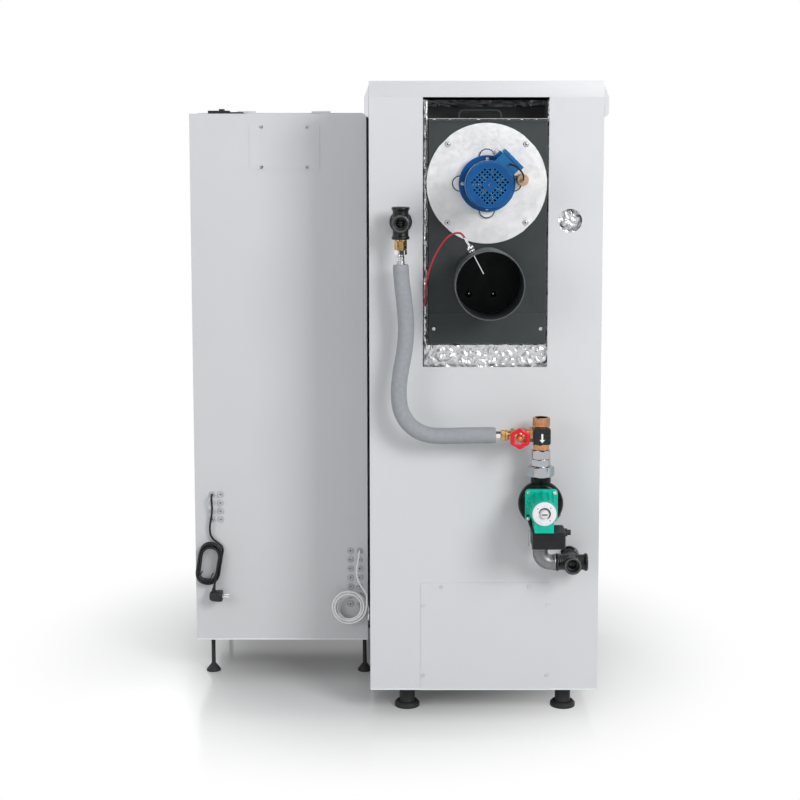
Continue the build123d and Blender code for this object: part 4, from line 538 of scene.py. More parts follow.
def gland_look(centre):
    """The look of the cable gland at the box's upper corner (1) or of the box (0)."""
    return 1 if (centre.x - FAN_X) + (centre.z - FAN_Z) > 45 else 0


dress("service_covers", ["casing", "smoke_box", "hopper"], 0.8, pick=cover_look)
dress("motor_terminal_box", ["blue_light", "gland"], 1.6, 3, pick=gland_look)

# Folded hems along the bottom edges of the rear sheets, painted white as a highlight where they catch the
# light
for name, x0, x1, y, z, node in (
    ("hopper_hem", 67.5, 511.5, HOPPER_REAR_Y, 105.8, "hopper_shell"),
    ("panel_hem", -500.5, 51.5, PANEL_FACE_Y, 63.8, "rear_panel"),
):
    hem = Shape().pipe([(x, y + 0.3, z) for x in (x0, (x0 + x1) / 2, x1)], 1.4, 12)
    hem.make(name, "white_mark", slot=node)

# Flue stub and fan plate: a rolled bead, two bolt heads deep inside, the probe's nut and the ears' rings
bead = [(78.05, 4), (78.05, 0.4), (79.2, 0.1), (79.95, 1.2), (79.95, 3.4), (79.3, 4.3), (78.5, 4.4)]
turned("stub_rim", "stub", basis((FLUE_X, 452, STUB_Z), BACK), bead, 96, closed=True, slot="flue_stub")
domed_head = [(0, 7), (3, 6.6), (6.2, 4.6), (8, 1.5), (8.4, 0)]
for tag, dx in (("a", 40), ("b", -20)):
    place = basis((FLUE_X + dx, 209.6, STUB_Z - 42), BACK)
    turned("stub_bolt_" + tag, "chrome", place, domed_head, 32, slot="screws_and_bolts")
probe_way = Vector((cos(radians(61.8)), 0, sin(radians(61.8))))
probe_nut = [(0, 0), (7, 0), (7.4, 1), (7.4, 4), (6.6, 5), (7.2, 6.5), (8.3, 9), (8.3, 12), (7, 14.6)]
probe_nut += [(4.6, 16), (0, 16.2)]
place = basis(Vector((FLUE_X, 382.5, STUB_Z)) + probe_way * 82, probe_way)
turned("probe_nut", "chrome", place, probe_nut, 40, slot="flue_probe")
# Dark rings round the plate's four ears outline them against the plate
ear_ring = [(16.6, 0), (16.6, 1.6), (17.8, 2.2), (19.1, 1.6), (19.1, 0)]
for tag, dx, dz in (("right", 1, 0), ("top", 0, 1), ("left", -1, 0), ("low", 0, -1)):
    place = basis((FAN_X + dx * EAR_REACH, 324.2, FAN_Z + dz * EAR_REACH), BACK)
    turned("ear_dark_ring_" + tag, "black_plastic", place, ear_ring, 48, closed=True, slot="fan_plate")


# Crumpled foil behind the cut-outs
def foil_sheet(name, x0, x1, z0, z1, step, depth, hole=None):
    """A sheet of foil with creases, standing a little off the insulation."""
    across, up = max(2, round((x1 - x0) / step)), max(2, round((z1 - z0) / step))
    bm = bmesh.new()
    grid = []
    for j in range(up + 1):
        row = []
        for i in range(across + 1):
            x, z = x0 + (x1 - x0) * i / across, z0 + (z1 - z0) * j / up
            here = Vector((x, 17, z))
            warp = noise.noise_vector(here / 34) * 9
            facets = noise.voronoi((here + warp) / 19)[0]
            fine = noise.voronoi((here + warp * 0.6) / 8)[0]
            lift = 0.62 * (facets[1] - facets[0]) + 0.22 * (fine[1] - fine[0]) + 0.35 * noise.noise(here / 40)
            row.append(bm.verts.new((x * MM, (FOIL_Y + depth * min(1, max(0, lift))) * MM, z * MM)))
        grid.append(row)
    for j in range(up):
        for i in range(across):
            centre_x = x0 + (x1 - x0) * (i + 0.5) / across
            centre_z = z0 + (z1 - z0) * (j + 0.5) / up
            if hole and hole[0] < centre_x < hole[1] and hole[2] < centre_z < hole[3]:
                continue
            bm.faces.new((grid[j][i], grid[j][i + 1], grid[j + 1][i + 1], grid[j + 1][i]))
    piece = settle(name, to_mesh(bm, name), "foil", "boiler", smooth=50)
    thick = piece.modifiers.new("foil", "SOLIDIFY")
    thick.thickness = 0.0006
    thick.offset = -1


# noise_vector takes its offset from the clock unless it has a seed, and the folds would differ in each run
FOLD_SEED = 3
noise.seed_set(FOLD_SEED)
foil_sheet("foil_round_smoke_box", -379.5, -76, 842, 1492, 3, 11, (-370.5, -85.5, 914, 1500))
foil_sheet("foil_at_round_hole", -465, -382, 1168, 1252, 2.4, 11)
foil_sheet("foil_at_lower_cover", -372, -75, 110, 330, 6, 9)


def flap_rows(part):
    """Strips of points across the flap's near side (0) or far side (1)."""
    rows = []
    for i in range(61):
        x = -492 + 534 * i / 60
        row = []
        for j in range(9):
            z = 1468 + 3.6 * j
            here = Vector((x, part * 50, z))
            lift = noise.noise(here / 14) * 5 + noise.noise(here / 6) * 2.5
            row.append(Vector((x, 190 + lift * 1.6 + part * 0.6, z)))
        rows.append(row)
    return rows


# The top flap uses the darker foil: painted shade in the cavity above the smoke box
top_flap = Shape().rings([near + list(reversed(far)) for near, far in zip(flap_rows(0), flap_rows(1))])
top_flap.make("foil_top_flap", "dark_foil", slot="foil_insulation", smooth=50)

# Bare lip along the smoke box's top edge, and the lifting loop behind it
lip = Shape().block((-368, 313.4, 1448.6), (-88, 317.2, 1450.4))
lip.make("smoke_box_lip", "steel", slot="flue_box", bevel=0.4)

loop_path = [(x - 211, 262, z + 1457) for x, z in rounded(100, 26, 11, 7)]
loop = Shape().pipe(loop_path + loop_path[:2], 3.4, 16, caps=False)
loop.make("smoke_box_loop", "smoke_box", slot="flue_box")


# Screws and bolts
def screw_heads(name, places, y, radius, height, look):
    """Round heads with a shallow recess, each on its washer."""
    heads = Shape()
    for n, (x, z) in enumerate(places):
        place = basis((x, y, z), BACK, turn=17 + 41 * n)
        profile = [(0, height - 0.9), (radius * 0.2, height - 0.85), (radius * 0.3, height - 0.05)]
        profile += [(radius * t, height * (1 - 0.55 * t**3)) for t in (0.45, 0.6, 0.75, 0.88, 0.96)]
        profile += [(radius, 0.25 * height), (radius, 0)]
        heads.lathe(place, profile, 36)
        washer = radius * 1.32
        heads.lathe(place, [(0, -0.2), (washer, -0.2), (washer, 0.35), (radius * 1.2, 0.5), (0, 0.5)], 36)
    heads.make(name, look, slot="screws_and_bolts")


corners = [radians(45 + 90 * n) for n in range(4)]
plate_bolts = [(FAN_X + PLATE_BOLT_CIRCLE * cos(a), FAN_Z + PLATE_BOLT_CIRCLE * sin(a)) for a in corners]
screw_heads("plate_bolt_heads", plate_bolts, PLATE_FACE_Y, 5.6, 3.4, "steel")
# Dark discs in the bolt heads' recesses: painted shade
sockets = Shape()
for x, z in plate_bolts:
    sockets.lathe(basis((x, 323.1, z), BACK), [(0, 0), (2.1, 0), (2.1, 0.75), (0, 0.75)], 20)
sockets.make("plate_bolt_sockets", "dark_mark", slot="screws_and_bolts")
lip_screws = Shape()
head = [(0, 3.2), (2.4, 3.1), (4.2, 2), (4.8, 0.4), (4.8, -0.5), (0, -0.5)]
for n, x in enumerate((-102, -139, -206, -276, -308, -341)):
    lip_screws.lathe(basis((x, 304 + (n % 2) * 4, 1447), UP), head, 24)
lip_screws.make("smoke_box_lip_screws", "steel", slot="screws_and_bolts")


# Malleable fittings
def cross(name, node, centre, ways, open_ways):
    """A banded cross: arms with rounded beads and a swollen middle, with bored ends."""
    arm = [(19.2, 3), (18.6, 14), (18.4, 26), (18.9, 29.5), (20.2, 31), (21, 32.4), (21.25, 34.2), (21.1, 36)]
    arm += [(20.2, 37.4), (18.9, 37.95), (17, 37.6), (15.2, 35.6), (15.1, 21), (12, 20), (12, 3)]
    body = Shape()
    for way in ways:
        body.lathe(basis(centre, way), arm, 56, closed=True)
    ball = [(18.9 * sin(pi * i / 16), -18.9 * cos(pi * i / 16)) for i in range(17)]
    body.lathe(basis(centre, ways[0]), [(max(r, 0), h) for r, h in ball], 48)
    mouth = [(15.3, 36.6), (15.9, 37.7), (17.4, 38.15), (19.4, 37.95), (20.3, 37.1), (18, 36.4)]
    ridges = [(15.25, 20.2), (15.25, 35.4)]
    for k in range(6):
        low = 35 - 2.4 * k
        ridges += [(15.1, low), (14.3, low - 1), (14.3, low - 1.3), (15.1, low - 2.3)]
    faces, thread = Shape(), Shape()
    for way in open_ways:
        faces.lathe(basis(centre, way), mouth, 56, closed=True)
        thread.lathe(basis(centre, way), ridges, 48, closed=True)
    # The mouths' faces are lighter iron: painted highlight on the rims
    faces.make(name + "_faces", "worn_iron", slot=node, smooth=40)
    thread.make(name + "_threads", "cast", slot=node, smooth=30)
    body.make(name, "malleable", replaces=(node,), smooth=40)


cross("supply_cross_body", "supply_cross", SUPPLY, (UP, DOWN, BACK, FRONT), (UP, BACK))
cross("return_cross_body", "return_cross", RETURN, (LEFT, RIGHT, BACK, FRONT), (RIGHT, BACK))
wall_ring = [(17.3, 0), (26.4, 0), (26.9, 1), (26.9, 4.5), (25.6, 7.5), (24.2, 9), (23.4, 12),
             (23, 19)]
wall_ring += [(21, 20.8), (17.3, 21)]
place = basis((SUPPLY[0], 313.2, SUPPLY[2]), BACK)
turned("supply_wall_ring", "malleable", place, wall_ring, 64, closed=True, slot="supply_cross", smooth=40)

# Elbow: two beaded ends and a full bend
bend_r, leg = 26, 38
elbow = Shape()
path = [Vector((STACK_X, PIPE_Y, RETURN[2] + leg)), Vector((STACK_X, PIPE_Y, RETURN[2] + bend_r))]
for i in range(1, 13):
    a = radians(90 * i / 12)
    path.append(Vector((STACK_X - bend_r + bend_r * cos(a), PIPE_Y, RETURN[2] + bend_r - bend_r * sin(a))))
reach = STACK_X - RETURN[0] - leg - 0.3
path.append(Vector((STACK_X - reach, PIPE_Y, RETURN[2])))
radii = [17.9] + [17.9 + 0.5 * sin(pi * i / 14) for i in range(1, len(path) - 1)] + [17.6]
elbow.pipe(path, radii, 48)
for place, size in ((basis(path[0], DOWN), 20.8), (basis(path[-1], LEFT), 19.9)):
    end_bead = [(12, 0), (size - 1.6, 0), (size - 0.4, 0.7), (size, 2.2), (size - 0.1, 4.6)]
    elbow.lathe(place, end_bead + [(size - 0.9, 6.4), (18, 8), (12, 8)], 48, closed=True)
elbow.make("elbow_body", "galvanised", replaces=("return_elbow",), smooth=40)


def stack(z):
    """A point on the pump stack's axis."""
    return (STACK_X, PIPE_Y, z)


# Unions of the pump stack
unions = Shape()
for z, turn, flats, length, soft in (
    (608, 0, 56, 24.6, 1.3),
    (632.6, 12, 41, 17.4, 1),
    (650.4, 35, 42, 21.4, 1.2),
    (437.4, 8, 50, 40.4, 1.2),
):
    unions.nut(basis(stack(z), UP, turn=turn), flats, length, steps=96, soft=soft)
unions.make("pump_unions", "nut_steel", replaces=("pipe_unions",), smooth=24)
packing = Shape()
upper_turns = [(0, 0), (21.5, 0), (22.6, 0.8), (22.6, 2), (21, 2.6), (0, 2.6)]
packing.lathe(basis(stack(606.4), UP), upper_turns, 48)
packing.lathe(basis(stack(476.2), UP), [(0, 0), (21.5, 0), (22.4, 0.8), (22.4, 2.2), (0, 2.6)], 48)
packing.make("union_packing", "cast", slot="pipe_unions")

# Thermal valve and its cover
valve = Shape()
valve.nut(basis(stack(672.2), UP, turn=22), 38, 14.8, steps=96, bore=12)
valve.lathe(
    basis(stack(0), UP),
    [(18.4, 686), (18.9, 690), (18.9, 725), (17.2, 728), (12.5, 728), (12.5, 686)],
    64,
    closed=True,
)
valve.nut(basis(stack(727.6), UP, turn=22.5), 41, 21.3, sides=8, bore=15.2, steps=96, soft=1.2)
branch = basis((STACK_X, PIPE_Y, BRANCH_Z), LEFT)
valve.lathe(branch, [(12.8, 12), (13.2, 15), (13.2, 35.6), (9.5, 35.8), (9.5, 12)], 48, closed=True)
valve.nut(basis((STACK_X + 15.5, PIPE_Y, BRANCH_Z), LEFT, turn=10), 32, 13, bore=9.6, steps=72)
valve.make("thermal_valve_body", "copper_brass", replaces=("thermal_valve",), smooth=26)

cover = Shape()
levels = []
for h, inset in ((0, 0.2), (0.4, 0), (12.6, 0), (14.4, 0.35), (15.5, 1.1), (16.1, 2.3), (16.2, 3.4)):
    levels.append((h, rounded(39.5 - 2 * inset, 40.5 - 2 * inset, 4.6 - inset * 0.6)))
cover.layers(basis((STACK_X, 389.2, BRANCH_Z), BACK), levels)
cover.make("thermal_valve_cover_body", "cover_plastic", replaces=("thermal_valve_cover",), smooth=30)
arrow_points = [(-11, 0), (-3.6, 6.4), (-3.6, 2.1), (10.4, 2.1), (10.4, -2.1), (-3.6, -2.1), (-3.6, -6.4)]
arrow = Shape().outline(basis((STACK_X, 405.2, BRANCH_Z - 3.5), BACK), arrow_points, 0, 0.28)
arrow.make("valve_arrow", "white_mark", slot="thermal_valve_cover")

# Gate valve, adaptors and handwheel
gate = Shape()
gate.nut(basis((-318.1, PIPE_Y, GATE_Z), LEFT, turn=14), 30, 9, bore=9.2)
gate.nut(basis((-290.6, PIPE_Y, GATE_Z), LEFT, turn=14), 29, 9, bore=9.2)
gate.lathe(
    basis((GATE_X, PIPE_Y, GATE_Z), LEFT),
    [(13.2, -9), (14, -7), (15, -4), (15.5, 0), (15, 4), (14, 7), (13.2, 11), (9.2, 11), (9.2, -9)],
    56,
    closed=True,
)
bonnet = basis((GATE_X, PIPE_Y, GATE_Z), BACK)
gate.lathe(
    bonnet,
    [(4, 9), (12.4, 9), (12.2, 13), (11.2, 15.5), (10.8, 17), (10.8, 25.2), (9.2, 26.4), (7.2, 27),
     (6.6, 29.6), (5.6, 29.95), (4, 29.95)],
    48,
    closed=True,
)
gate.nut(basis((GATE_X, PIPE_Y + 17, GATE_Z), BACK, turn=9), 21.8, 8, bore=8)
gate.make("gate_valve_body", "brass_dark", replaces=("gate_valve",), smooth=28)

WHEEL_Y = 412.5
wheel = Shape()
wheel_place = basis((GATE_X, WHEEL_Y, GATE_Z), BACK)
STEPS_AROUND, LOBES = 144, 6
section = [(0, 1.2), (0.06, 0.4), (0.24, 0), (0.5, -0.1), (0.76, 0.2), (0.93, 1.2), (1, 3),
           (0.99, 5.2), (0.9, 6.8), (0.72, 7.7), (0.5, 7.95), (0.28, 7.6), (0.1, 6.6), (0, 5)]
rows = []
for i in range(STEPS_AROUND):
    a = 2 * pi * i / STEPS_AROUND
    lobe = cos(LOBES * a)
    outer = 23.35 + 1.55 * lobe + 0.15 * abs(lobe)
    inner = 13.9 + 0.35 * lobe
    levels = [(inner + (outer - inner) * t, max(h, 0)) for t, h in section]
    rows.append([polar(wheel_place, r, a, h) for r, h in levels])
wheel.rings(rows, closed_path=True)
for n in range(3):
    a = radians(90 + 120 * n)
    inward = Vector((cos(a), sin(a), 0))
    sideways = Vector((-sin(a), cos(a), 0))
    rows = []
    for k in range(9):
        t = k / 8
        reach = 4 + 11.4 * t
        wide = 2.6 - 0.9 * sin(pi * t)
        level = 2.4 + 1.4 * t * t
        ring = []
        for m in range(12):
            b = 2 * pi * m / 12
            rise = Vector((0, 0, level + 1.5 * sin(b)))
            ring.append(wheel_place @ (inward * reach + sideways * wide * cos(b) + rise))
        rows.append(ring)
    wheel.rings(rows)
hub = [(3.4, -1.6), (5.6, -1.8), (6.4, 0.4), (6.6, 3), (5.8, 5.2), (3.4, 5.6)]
wheel.lathe(wheel_place, hub, 40, closed=True)
wheel.make("handwheel", "red", body="valve_handwheel", replaces=("valve_handwheel",), smooth=50)
stem = Shape()
rod = [(0, 387), (3.3, 387), (3.3, 410.8), (2.6, 412), (2.6, 419), (0, 419)]
stem.lathe(basis((GATE_X, 0, GATE_Z), BACK), rod, 32)
stem.nut(basis((GATE_X, WHEEL_Y + 5.2, GATE_Z), BACK, turn=12), 8.6, 2.4)
stem.make("handwheel_stem", "brass", body="valve_handwheel", slot="valve_handwheel", smooth=28)

adaptors = Shape()
adaptors.nut(basis((SUPPLY[0], PIPE_Y, 1145.2), UP, turn=0), 26, 23.4)
shoulder = [(0, 0), (13.6, 0), (14.6, 0.6), (14.6, 3.2), (0, 3.4)]
adaptors.lathe(basis((SUPPLY[0], PIPE_Y, 1166), UP), shoulder, 48)
adaptors.nut(basis((-259, PIPE_Y, GATE_Z), RIGHT, turn=20), 25.6, 9.6)
adaptors.nut(basis((-268.9, PIPE_Y, GATE_Z), RIGHT, turn=40), 23.4, 6.4)
adaptors.lathe(
    basis((-275, PIPE_Y, GATE_Z), RIGHT),
    [(0, 0), (10.4, 0), (11, 0.6), (10.2, 1.2), (11, 1.9), (10.2, 2.6), (11, 3.3), (10.2, 4),
     (10.6, 6.3), (0, 6.3)],
    40,
)
adaptors.make("hose_adaptors", "brass", replaces=("brass_adaptors",), smooth=26)

hose_ends = Shape()
hose_ends.nut(basis((SUPPLY[0], PIPE_Y, 1133.2), UP, turn=10), 27, 11.6)
hose_ends.lathe(
    basis((SUPPLY[0], PIPE_Y, 0), UP),
    [(0, 1112), (8.6, 1112), (8.9, 1114), (8.9, 1120.5), (8.4, 1121.5), (8.4, 1124), (9.2, 1125.5),
     (9.2, 1129), (7.8, 1130.5), (7.7, 1133.4), (0, 1133.4)],
    48,
)
hose_ends.nut(basis((-247, PIPE_Y, GATE_Z), RIGHT), 17.4, 11.8, soft=0.8)
hose_ends.lathe(basis((-240, PIPE_Y, GATE_Z), RIGHT), [(0, 0), (8.4, 0), (8.4, 7.4), (0, 7.4)], 40)
hose_ends_piece = hose_ends.make("hose_fittings", "chrome", slot="steel_hose", smooth=26)

# Pump
pump = Shape()
axis = basis((STACK_X, 0, PUMP_Z), BACK)
pump.lathe(
    axis,
    [(0, 346.6), (30, 346.6), (38, 348.5), (45, 353), (50.5, 359), (53.2, 366), (53.9, 374), (53.2, 381),
     (50.5, 387), (46.5, 391), (41, 392.4), (0, 392.4)],
    72,
)
pump.lathe(
    basis(stack(0), UP),
    [(13.2, 478.1), (22.4, 478.1), (23.8, 479.4), (23.9, 491), (22.6, 493.5), (20.2, 495.5), (20, 504),
     (22, 520), (22, 566), (20, 582), (20.2, 590.5), (22.6, 592.5), (23.9, 595), (23.9, 606.6),
     (22.4, 607.9), (13.2, 607.9)],
    64,
    closed=True,
)
scroll = []
for i in range(49):
    t = i / 48
    a = radians(-60 + 300 * t)
    radius = 41 + 3.2 * t
    scroll.append((polar(axis, radius, a, 369), 8 + 5 * t))
pump.pipe([c for c, _ in scroll], [r for _, r in scroll], 24)
pump.make("pump_body", "cast", replaces=("pump_housing",), smooth=40)

motor = Shape()
flange = basis((STACK_X, 392.5, PUMP_Z), BACK)
rows = []
for h, inset in ((0, 0.8), (0.8, 0), (6.8, 0), (7.6, 0.5), (8, 1.4)):
    ring = []
    for x, y in rounded(77 - 2 * inset, 77 - 2 * inset, 9 - inset * 0.5, 8):
        waist = 1 - 0.055 * max(0, 1 - (min(abs(x), abs(y)) / 22) ** 2)
        ring.append(flange @ Vector((x * waist, y * waist, h)))
    rows.append(ring)
motor.rings(rows)
rows = []
ribs = 14
for h, radius, depth in (
    (399.6, 37.5, 0), (402.5, 35.8, 0.4), (406, 34.8, 1), (412, 34, 1), (430, 32.3, 1),
    (450, 30.6, 1), (462, 29.8, 0.9), (467, 29.6, 0.3), (470, 30, 0),
):
    ring = []
    for i in range(ribs * 14):
        a = 2 * pi * i / (ribs * 14)
        wave = (0.5 + 0.5 * cos(ribs * a)) ** 5
        ring.append(polar(axis, radius - 2.6 * depth + 4.6 * depth * wave, a, h))
    rows.append(ring)
motor.rings(rows)
motor.lathe(
    axis,
    [(0, 468), (29.6, 468), (30.3, 469), (30.5, 471), (30.5, 481.2), (30.1, 483.2), (29.2, 484.4),
     (28.4, 484.3), (28.1, 483.2), (28.05, 482.4), (0, 482.4)],
    96,
)
motor.block((STACK_X - 22, 406.5, 497.6), (STACK_X + 22, 482.4, 523))
screw_seat = [(0, 0), (5.4, 0), (5.2, 0.8), (4.7, 1), (0, 1)]
for dx in (-31, 31):
    for dz in (-31, 31):
        motor.lathe(basis((STACK_X + dx, 400.3, PUMP_Z + dz), BACK), screw_seat, 28)
motor.make("pump_motor_body", "green", replaces=("pump_motor",), smooth=38)
corner_screws = Shape()
head = [(0, 0), (3.9, 0), (4, 0.4), (4, 2.9), (3.6, 3.4), (2.2, 3.4), (2, 3.2), (1.9, 1.4), (0, 1.4)]
for n, (dx, dz) in enumerate(((-31, -31), (31, -31), (-31, 31), (31, 31))):
    place = basis((STACK_X + dx, 401.2, PUMP_Z + dz), BACK, turn=20 * n)
    corner_screws.lathe(place, head, 28)
corner_screws.make("pump_corner_screws", "chrome", slot="pump_motor")
face_plate = [(3.2, 482.6), (27.7, 482.6), (27.9, 483), (27.7, 484.6), (26.8, 485.1), (13.2, 485.25)]
face_plate += [(12.2, 485), (11.8, 484.2), (3.2, 484.2)]
turned("pump_face_plate", "white_face", axis, face_plate, 96, closed=True, replaces=("pump_face",), smooth=40)
scale = Shape()
rows = []
for i in range(41):
    a = radians(-150 + 235 * i / 40)
    half = 0.5 + 1.2 * sin(pi * i / 40) ** 0.5
    ring = [(12.9 + d, h) for d, h in ((-half, 485.18), (half, 485.18), (half, 485.42), (-half, 485.42))]
    rows.append([polar(axis, r, a, h) for r, h in ring])
scale.rings(rows)
for i in range(3):
    a = radians(-140 + 95 * i)
    centre = polar(axis, 20, a, 0)
    scale.lathe(basis((centre.x, 485.15, centre.z), BACK), [(0, 0), (1.3, 0), (1.3, 0.22), (0, 0.24)], 20)
scale.make("pump_face_scale", "dark_mark", slot="pump_face")
knob = [(0, 485.9), (9, 485.9), (9.4, 486.6), (9.3, 490.6), (8.6, 491.9), (7.4, 492.4), (0, 492.45)]
turned("pump_knob", "knob", axis, knob, 64, body="pump_selector", replaces=("pump_selector",), smooth=40)
# A dark mark in the knob's slot: painted shade
slit = Shape().outline(axis, rounded(3, 13.6, 1.4, 4), 491.9, 492.5)
slit.make("pump_knob_slot", "dark_mark", body="pump_selector", slot="pump_selector")
box_extras = Shape()
gland = basis((-405, 426.5, 485.5), RIGHT)
box_extras.lathe(gland, [(0, 4), (6.2, 4), (6.2, 15.8), (5.2, 15.9), (4.4, 15), (0, 15)], 32)
bar = basis((STACK_X + 30, 398, 512), (-0.33, 0.1, -0.94))
box_extras.outline(bar, rounded(9, 7, 2.2, 4), -12, 34)
box_extras.make("pump_box_extras", "black_plastic", slot="pump_terminal_box")

# Grommets and feet
grommets = Shape()
left_places = [(467.5 - i * 21.7, 490.5 - j * 21.7) for i in range(2) for j in range(4)]
right_places = [(111.2 - i * 23.9, 342.1 - j * 23.6) for i in range(2) for j in range(7)]
grommet_holes = Shape()
CABLE_PLACES = (0, 15)
for n, (x, z) in enumerate(left_places + right_places):
    place = basis((x, HOPPER_REAR_Y, z), BACK)
    used = n in CABLE_PLACES
    bore = 2.9 if used else 2
    profile = [(bore, -2), (5.6, -2), (5.6, 0), (8.4, 0), (8.6, 0.6), (8.5, 1.5), (7.9, 2.5),
               (6.9, 3.1)]
    profile += [(6, 2.7), (5.2, 1.7), (4.4, 1.6), (3.8, 2.3), (bore + 0.7, 3.4), (bore, 3.1)]
    grommets.lathe(place, profile, 36, closed=True)
    # Each open hole gets a dark disc: painted shade
    if not used:
        grommet_holes.lathe(place, [(0, 0.2), (2.1, 0.2), (2.1, 0.5), (0, 0.5)], 20)
grommets.make("grommets", "grommet", replaces=("cable_grommets",), smooth=40)
grommet_holes.make("grommet_holes", "grommet_dark", slot="cable_grommets")

feet = Shape()
disc = [(0, 0.2), (30, 0.2), (31, 1), (31, 4.6), (29.5, 6.4), (24, 8.6), (20, 10.4),
        (19, 13)]
disc.append((0, 13))
for x in (-37, -424):
    for y in (246.5, -381.5):
        feet.lathe(basis((x, y, 0), UP), disc, 56)
feet.make("feet_discs", "base", slot="levelling_feet")


# Cables and hose
def cord_curve(name, points, radius, look):
    """A smooth NURBS line through a route's control points, in millimetres."""
    data = bpy.data.curves.new(name, "CURVE")
    data.dimensions = "3D"
    data.bevel_depth = radius * MM
    data.bevel_resolution = 5
    data.resolution_u = 8
    data.use_fill_caps = True
    line = data.splines.new("NURBS")
    line.points.add(len(points) - 1)
    for point, place in zip(line.points, points):
        point.co = (*(c * MM for c in place), 1)
    line.order_u = 3
    line.use_endpoint_u = True
    data.materials.append(looks[look])
    piece = put(name, data)
    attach(piece, "boiler")
    return piece


def centre_line(piece):
    """The points of a curve's own line, read from it with no bevel."""
    plain = piece.data.copy()
    plain.bevel_depth = 0
    probe = bpy.data.objects.new("measure", plain)
    mesh = bpy.data.meshes.new_from_object(probe)
    points = [vertex.co.copy() for vertex in mesh.vertices]
    bpy.data.objects.remove(probe)
    bpy.data.curves.remove(plain)
    bpy.data.meshes.remove(mesh)
    return points


def line_length(piece):
    """The length of a curve's own line."""
    points = centre_line(piece)
    return sum((b - a).length for a, b in zip(points, points[1:]))


def turns(centre, first_y, outer, run, step, layer_step, halves, per_layer, tilt, fans):
    """Control points of a wound cable: half turns that spiral in and out, in layers that fan out a little."""
    c, d = cos(radians(tilt)), sin(radians(tilt))
    points = []
    width, depth, layer, inward = outer, 0, 0, True
    for i in range(halves + 1):
        side = 1 if i % 2 == 0 else -1
        climbs = 0 < i < halves and i % per_layer == 0
        rise, lift = (layer_step, 1) if climbs else (0, 0)
        if climbs:
            inward = not inward
        if run:
            for t in (0, 0.33, 0.67, 1):
                points.append((side * width, side * run * (0.5 - t), depth + rise * t, layer + lift * t))
            depth, layer, rise, lift = depth + rise, layer + lift, 0, 0
        if i == halves:
            if not run:
                points.append((side * width, 0, depth, layer))
            break
        following = width if (climbs and not run) else width + (-step if inward else step)
        for k in range(1 if run else 0, 6):
            t = k / 6
            r, a = width + (following - width) * t, pi * t
            points.append(
                (side * r * cos(a), -side * (run / 2 + r * sin(a)), depth + rise * t, layer + lift * t)
            )
        width, depth, layer = following, depth + rise, layer + lift
    placed = []
    for across, along, deep, level in points:
        low = min(int(level), len(fans) - 1)
        high, part = min(low + 1, len(fans) - 1), level - low
        shift = [fans[low][n] * (1 - part) + fans[high][n] * part for n in (0, 1)]
        placed.append(
            (
                centre[0] - (across * c + along * d) + shift[0],
                first_y + deep,
                centre[1] - across * d + along * c + shift[1],
            )
        )
    return placed


def lead(x, z, offsets):
    """Control points of a lead, as offsets from the place where it leaves the hopper's rear sheet."""
    return [(x + across, HOPPER_REAR_Y + out, z + up) for across, out, up in offsets]


mains_route = [(0, 3.5, 0), (0, 16, 0), (-0.5, 22, -13), (-1.5, 15, -34), (1.5, 11, -58)]
mains_route += [(6.5, 10.5, -82), (6, 9, -99), (1.5, 8, -112.5), (-8.5, 7.25, -122)]
mains_route.append((-21, 7.25, -131))
mains_lead = lead(467.5, 490.5, mains_route)
HANK = (477, 311.5)
hank_fans = [(0, 1.6), (1.2, -2.6), (-1.8, 1.8), (0, -3.2)]
hank = turns(HANK, HOPPER_REAR_Y + 7.25, 30.2, 54, 3.05, 6.2, 10, 3, 10, hank_fans)
hank_way = Vector((sin(radians(10)), 0, -cos(radians(10))))
mains_lead.append(tuple(Vector(hank[0]) - hank_way * 14))
hank[-1] = tuple(Vector(hank[-1]) + hank_way * 30)
mains = cord_curve("mains_cable", mains_lead + hank, 2.75, "black_cable")
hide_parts("mains_lead", "mains_hank")

plug = Shape()
low, high = (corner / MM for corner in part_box("mains_plug"))
plug_low, plug_high = Vector((high.x - 34, low.y, low.z)), Vector((high.x, high.y, low.z + 26))
middle = (plug_low + plug_high) / 2
levels = []
for along, wide, tall, corner in (
    (0.3, 30, 21, 7), (1, 33, 24, 8), (3, 35.2, 25.6, 8.4), (9, 36, 26, 8.6),
    (17, 34.6, 25.4, 8.4), (25, 32, 24.6, 9), (31, 28.6, 22, 9), (33.4, 24, 17, 8),
    (34, 18, 12, 6),
):
    levels.append((along, rounded(tall, wide, corner)))
plug.layers(basis((plug_low.x, middle.y, middle.z), LEFT), levels)
neck = [(2.9, -9), (3.7, -8.4), (3.7, -6.4), (3.2, -5.9), (3.2, -4.9), (4.1, -4.4), (4.1, -2.4),
        (3.6, -1.9)]
neck += [(3.6, -0.9), (4.7, -0.4), (5, 2), (5.6, 9), (2.9, 12)]
plug.lathe(basis(hank[-1], tuple(hank_way)), neck, 32, closed=True)
plug_piece = plug.make("mains_plug_body", "black_plastic", replaces=("mains_plug",), smooth=40)
pins = Shape()
pin = [(0, 0), (2.4, 0), (2.4, 14.4), (2, 15.7), (1.2, 16.3), (0, 16.35)]
for side in (-9.5, 9.5):
    pins.lathe(basis((plug_low.x + 0.4, middle.y + side, middle.z), RIGHT), pin, 28)
pin_piece = pins.make("mains_plug_pins", "chrome", slot="mains_plug", smooth=40)

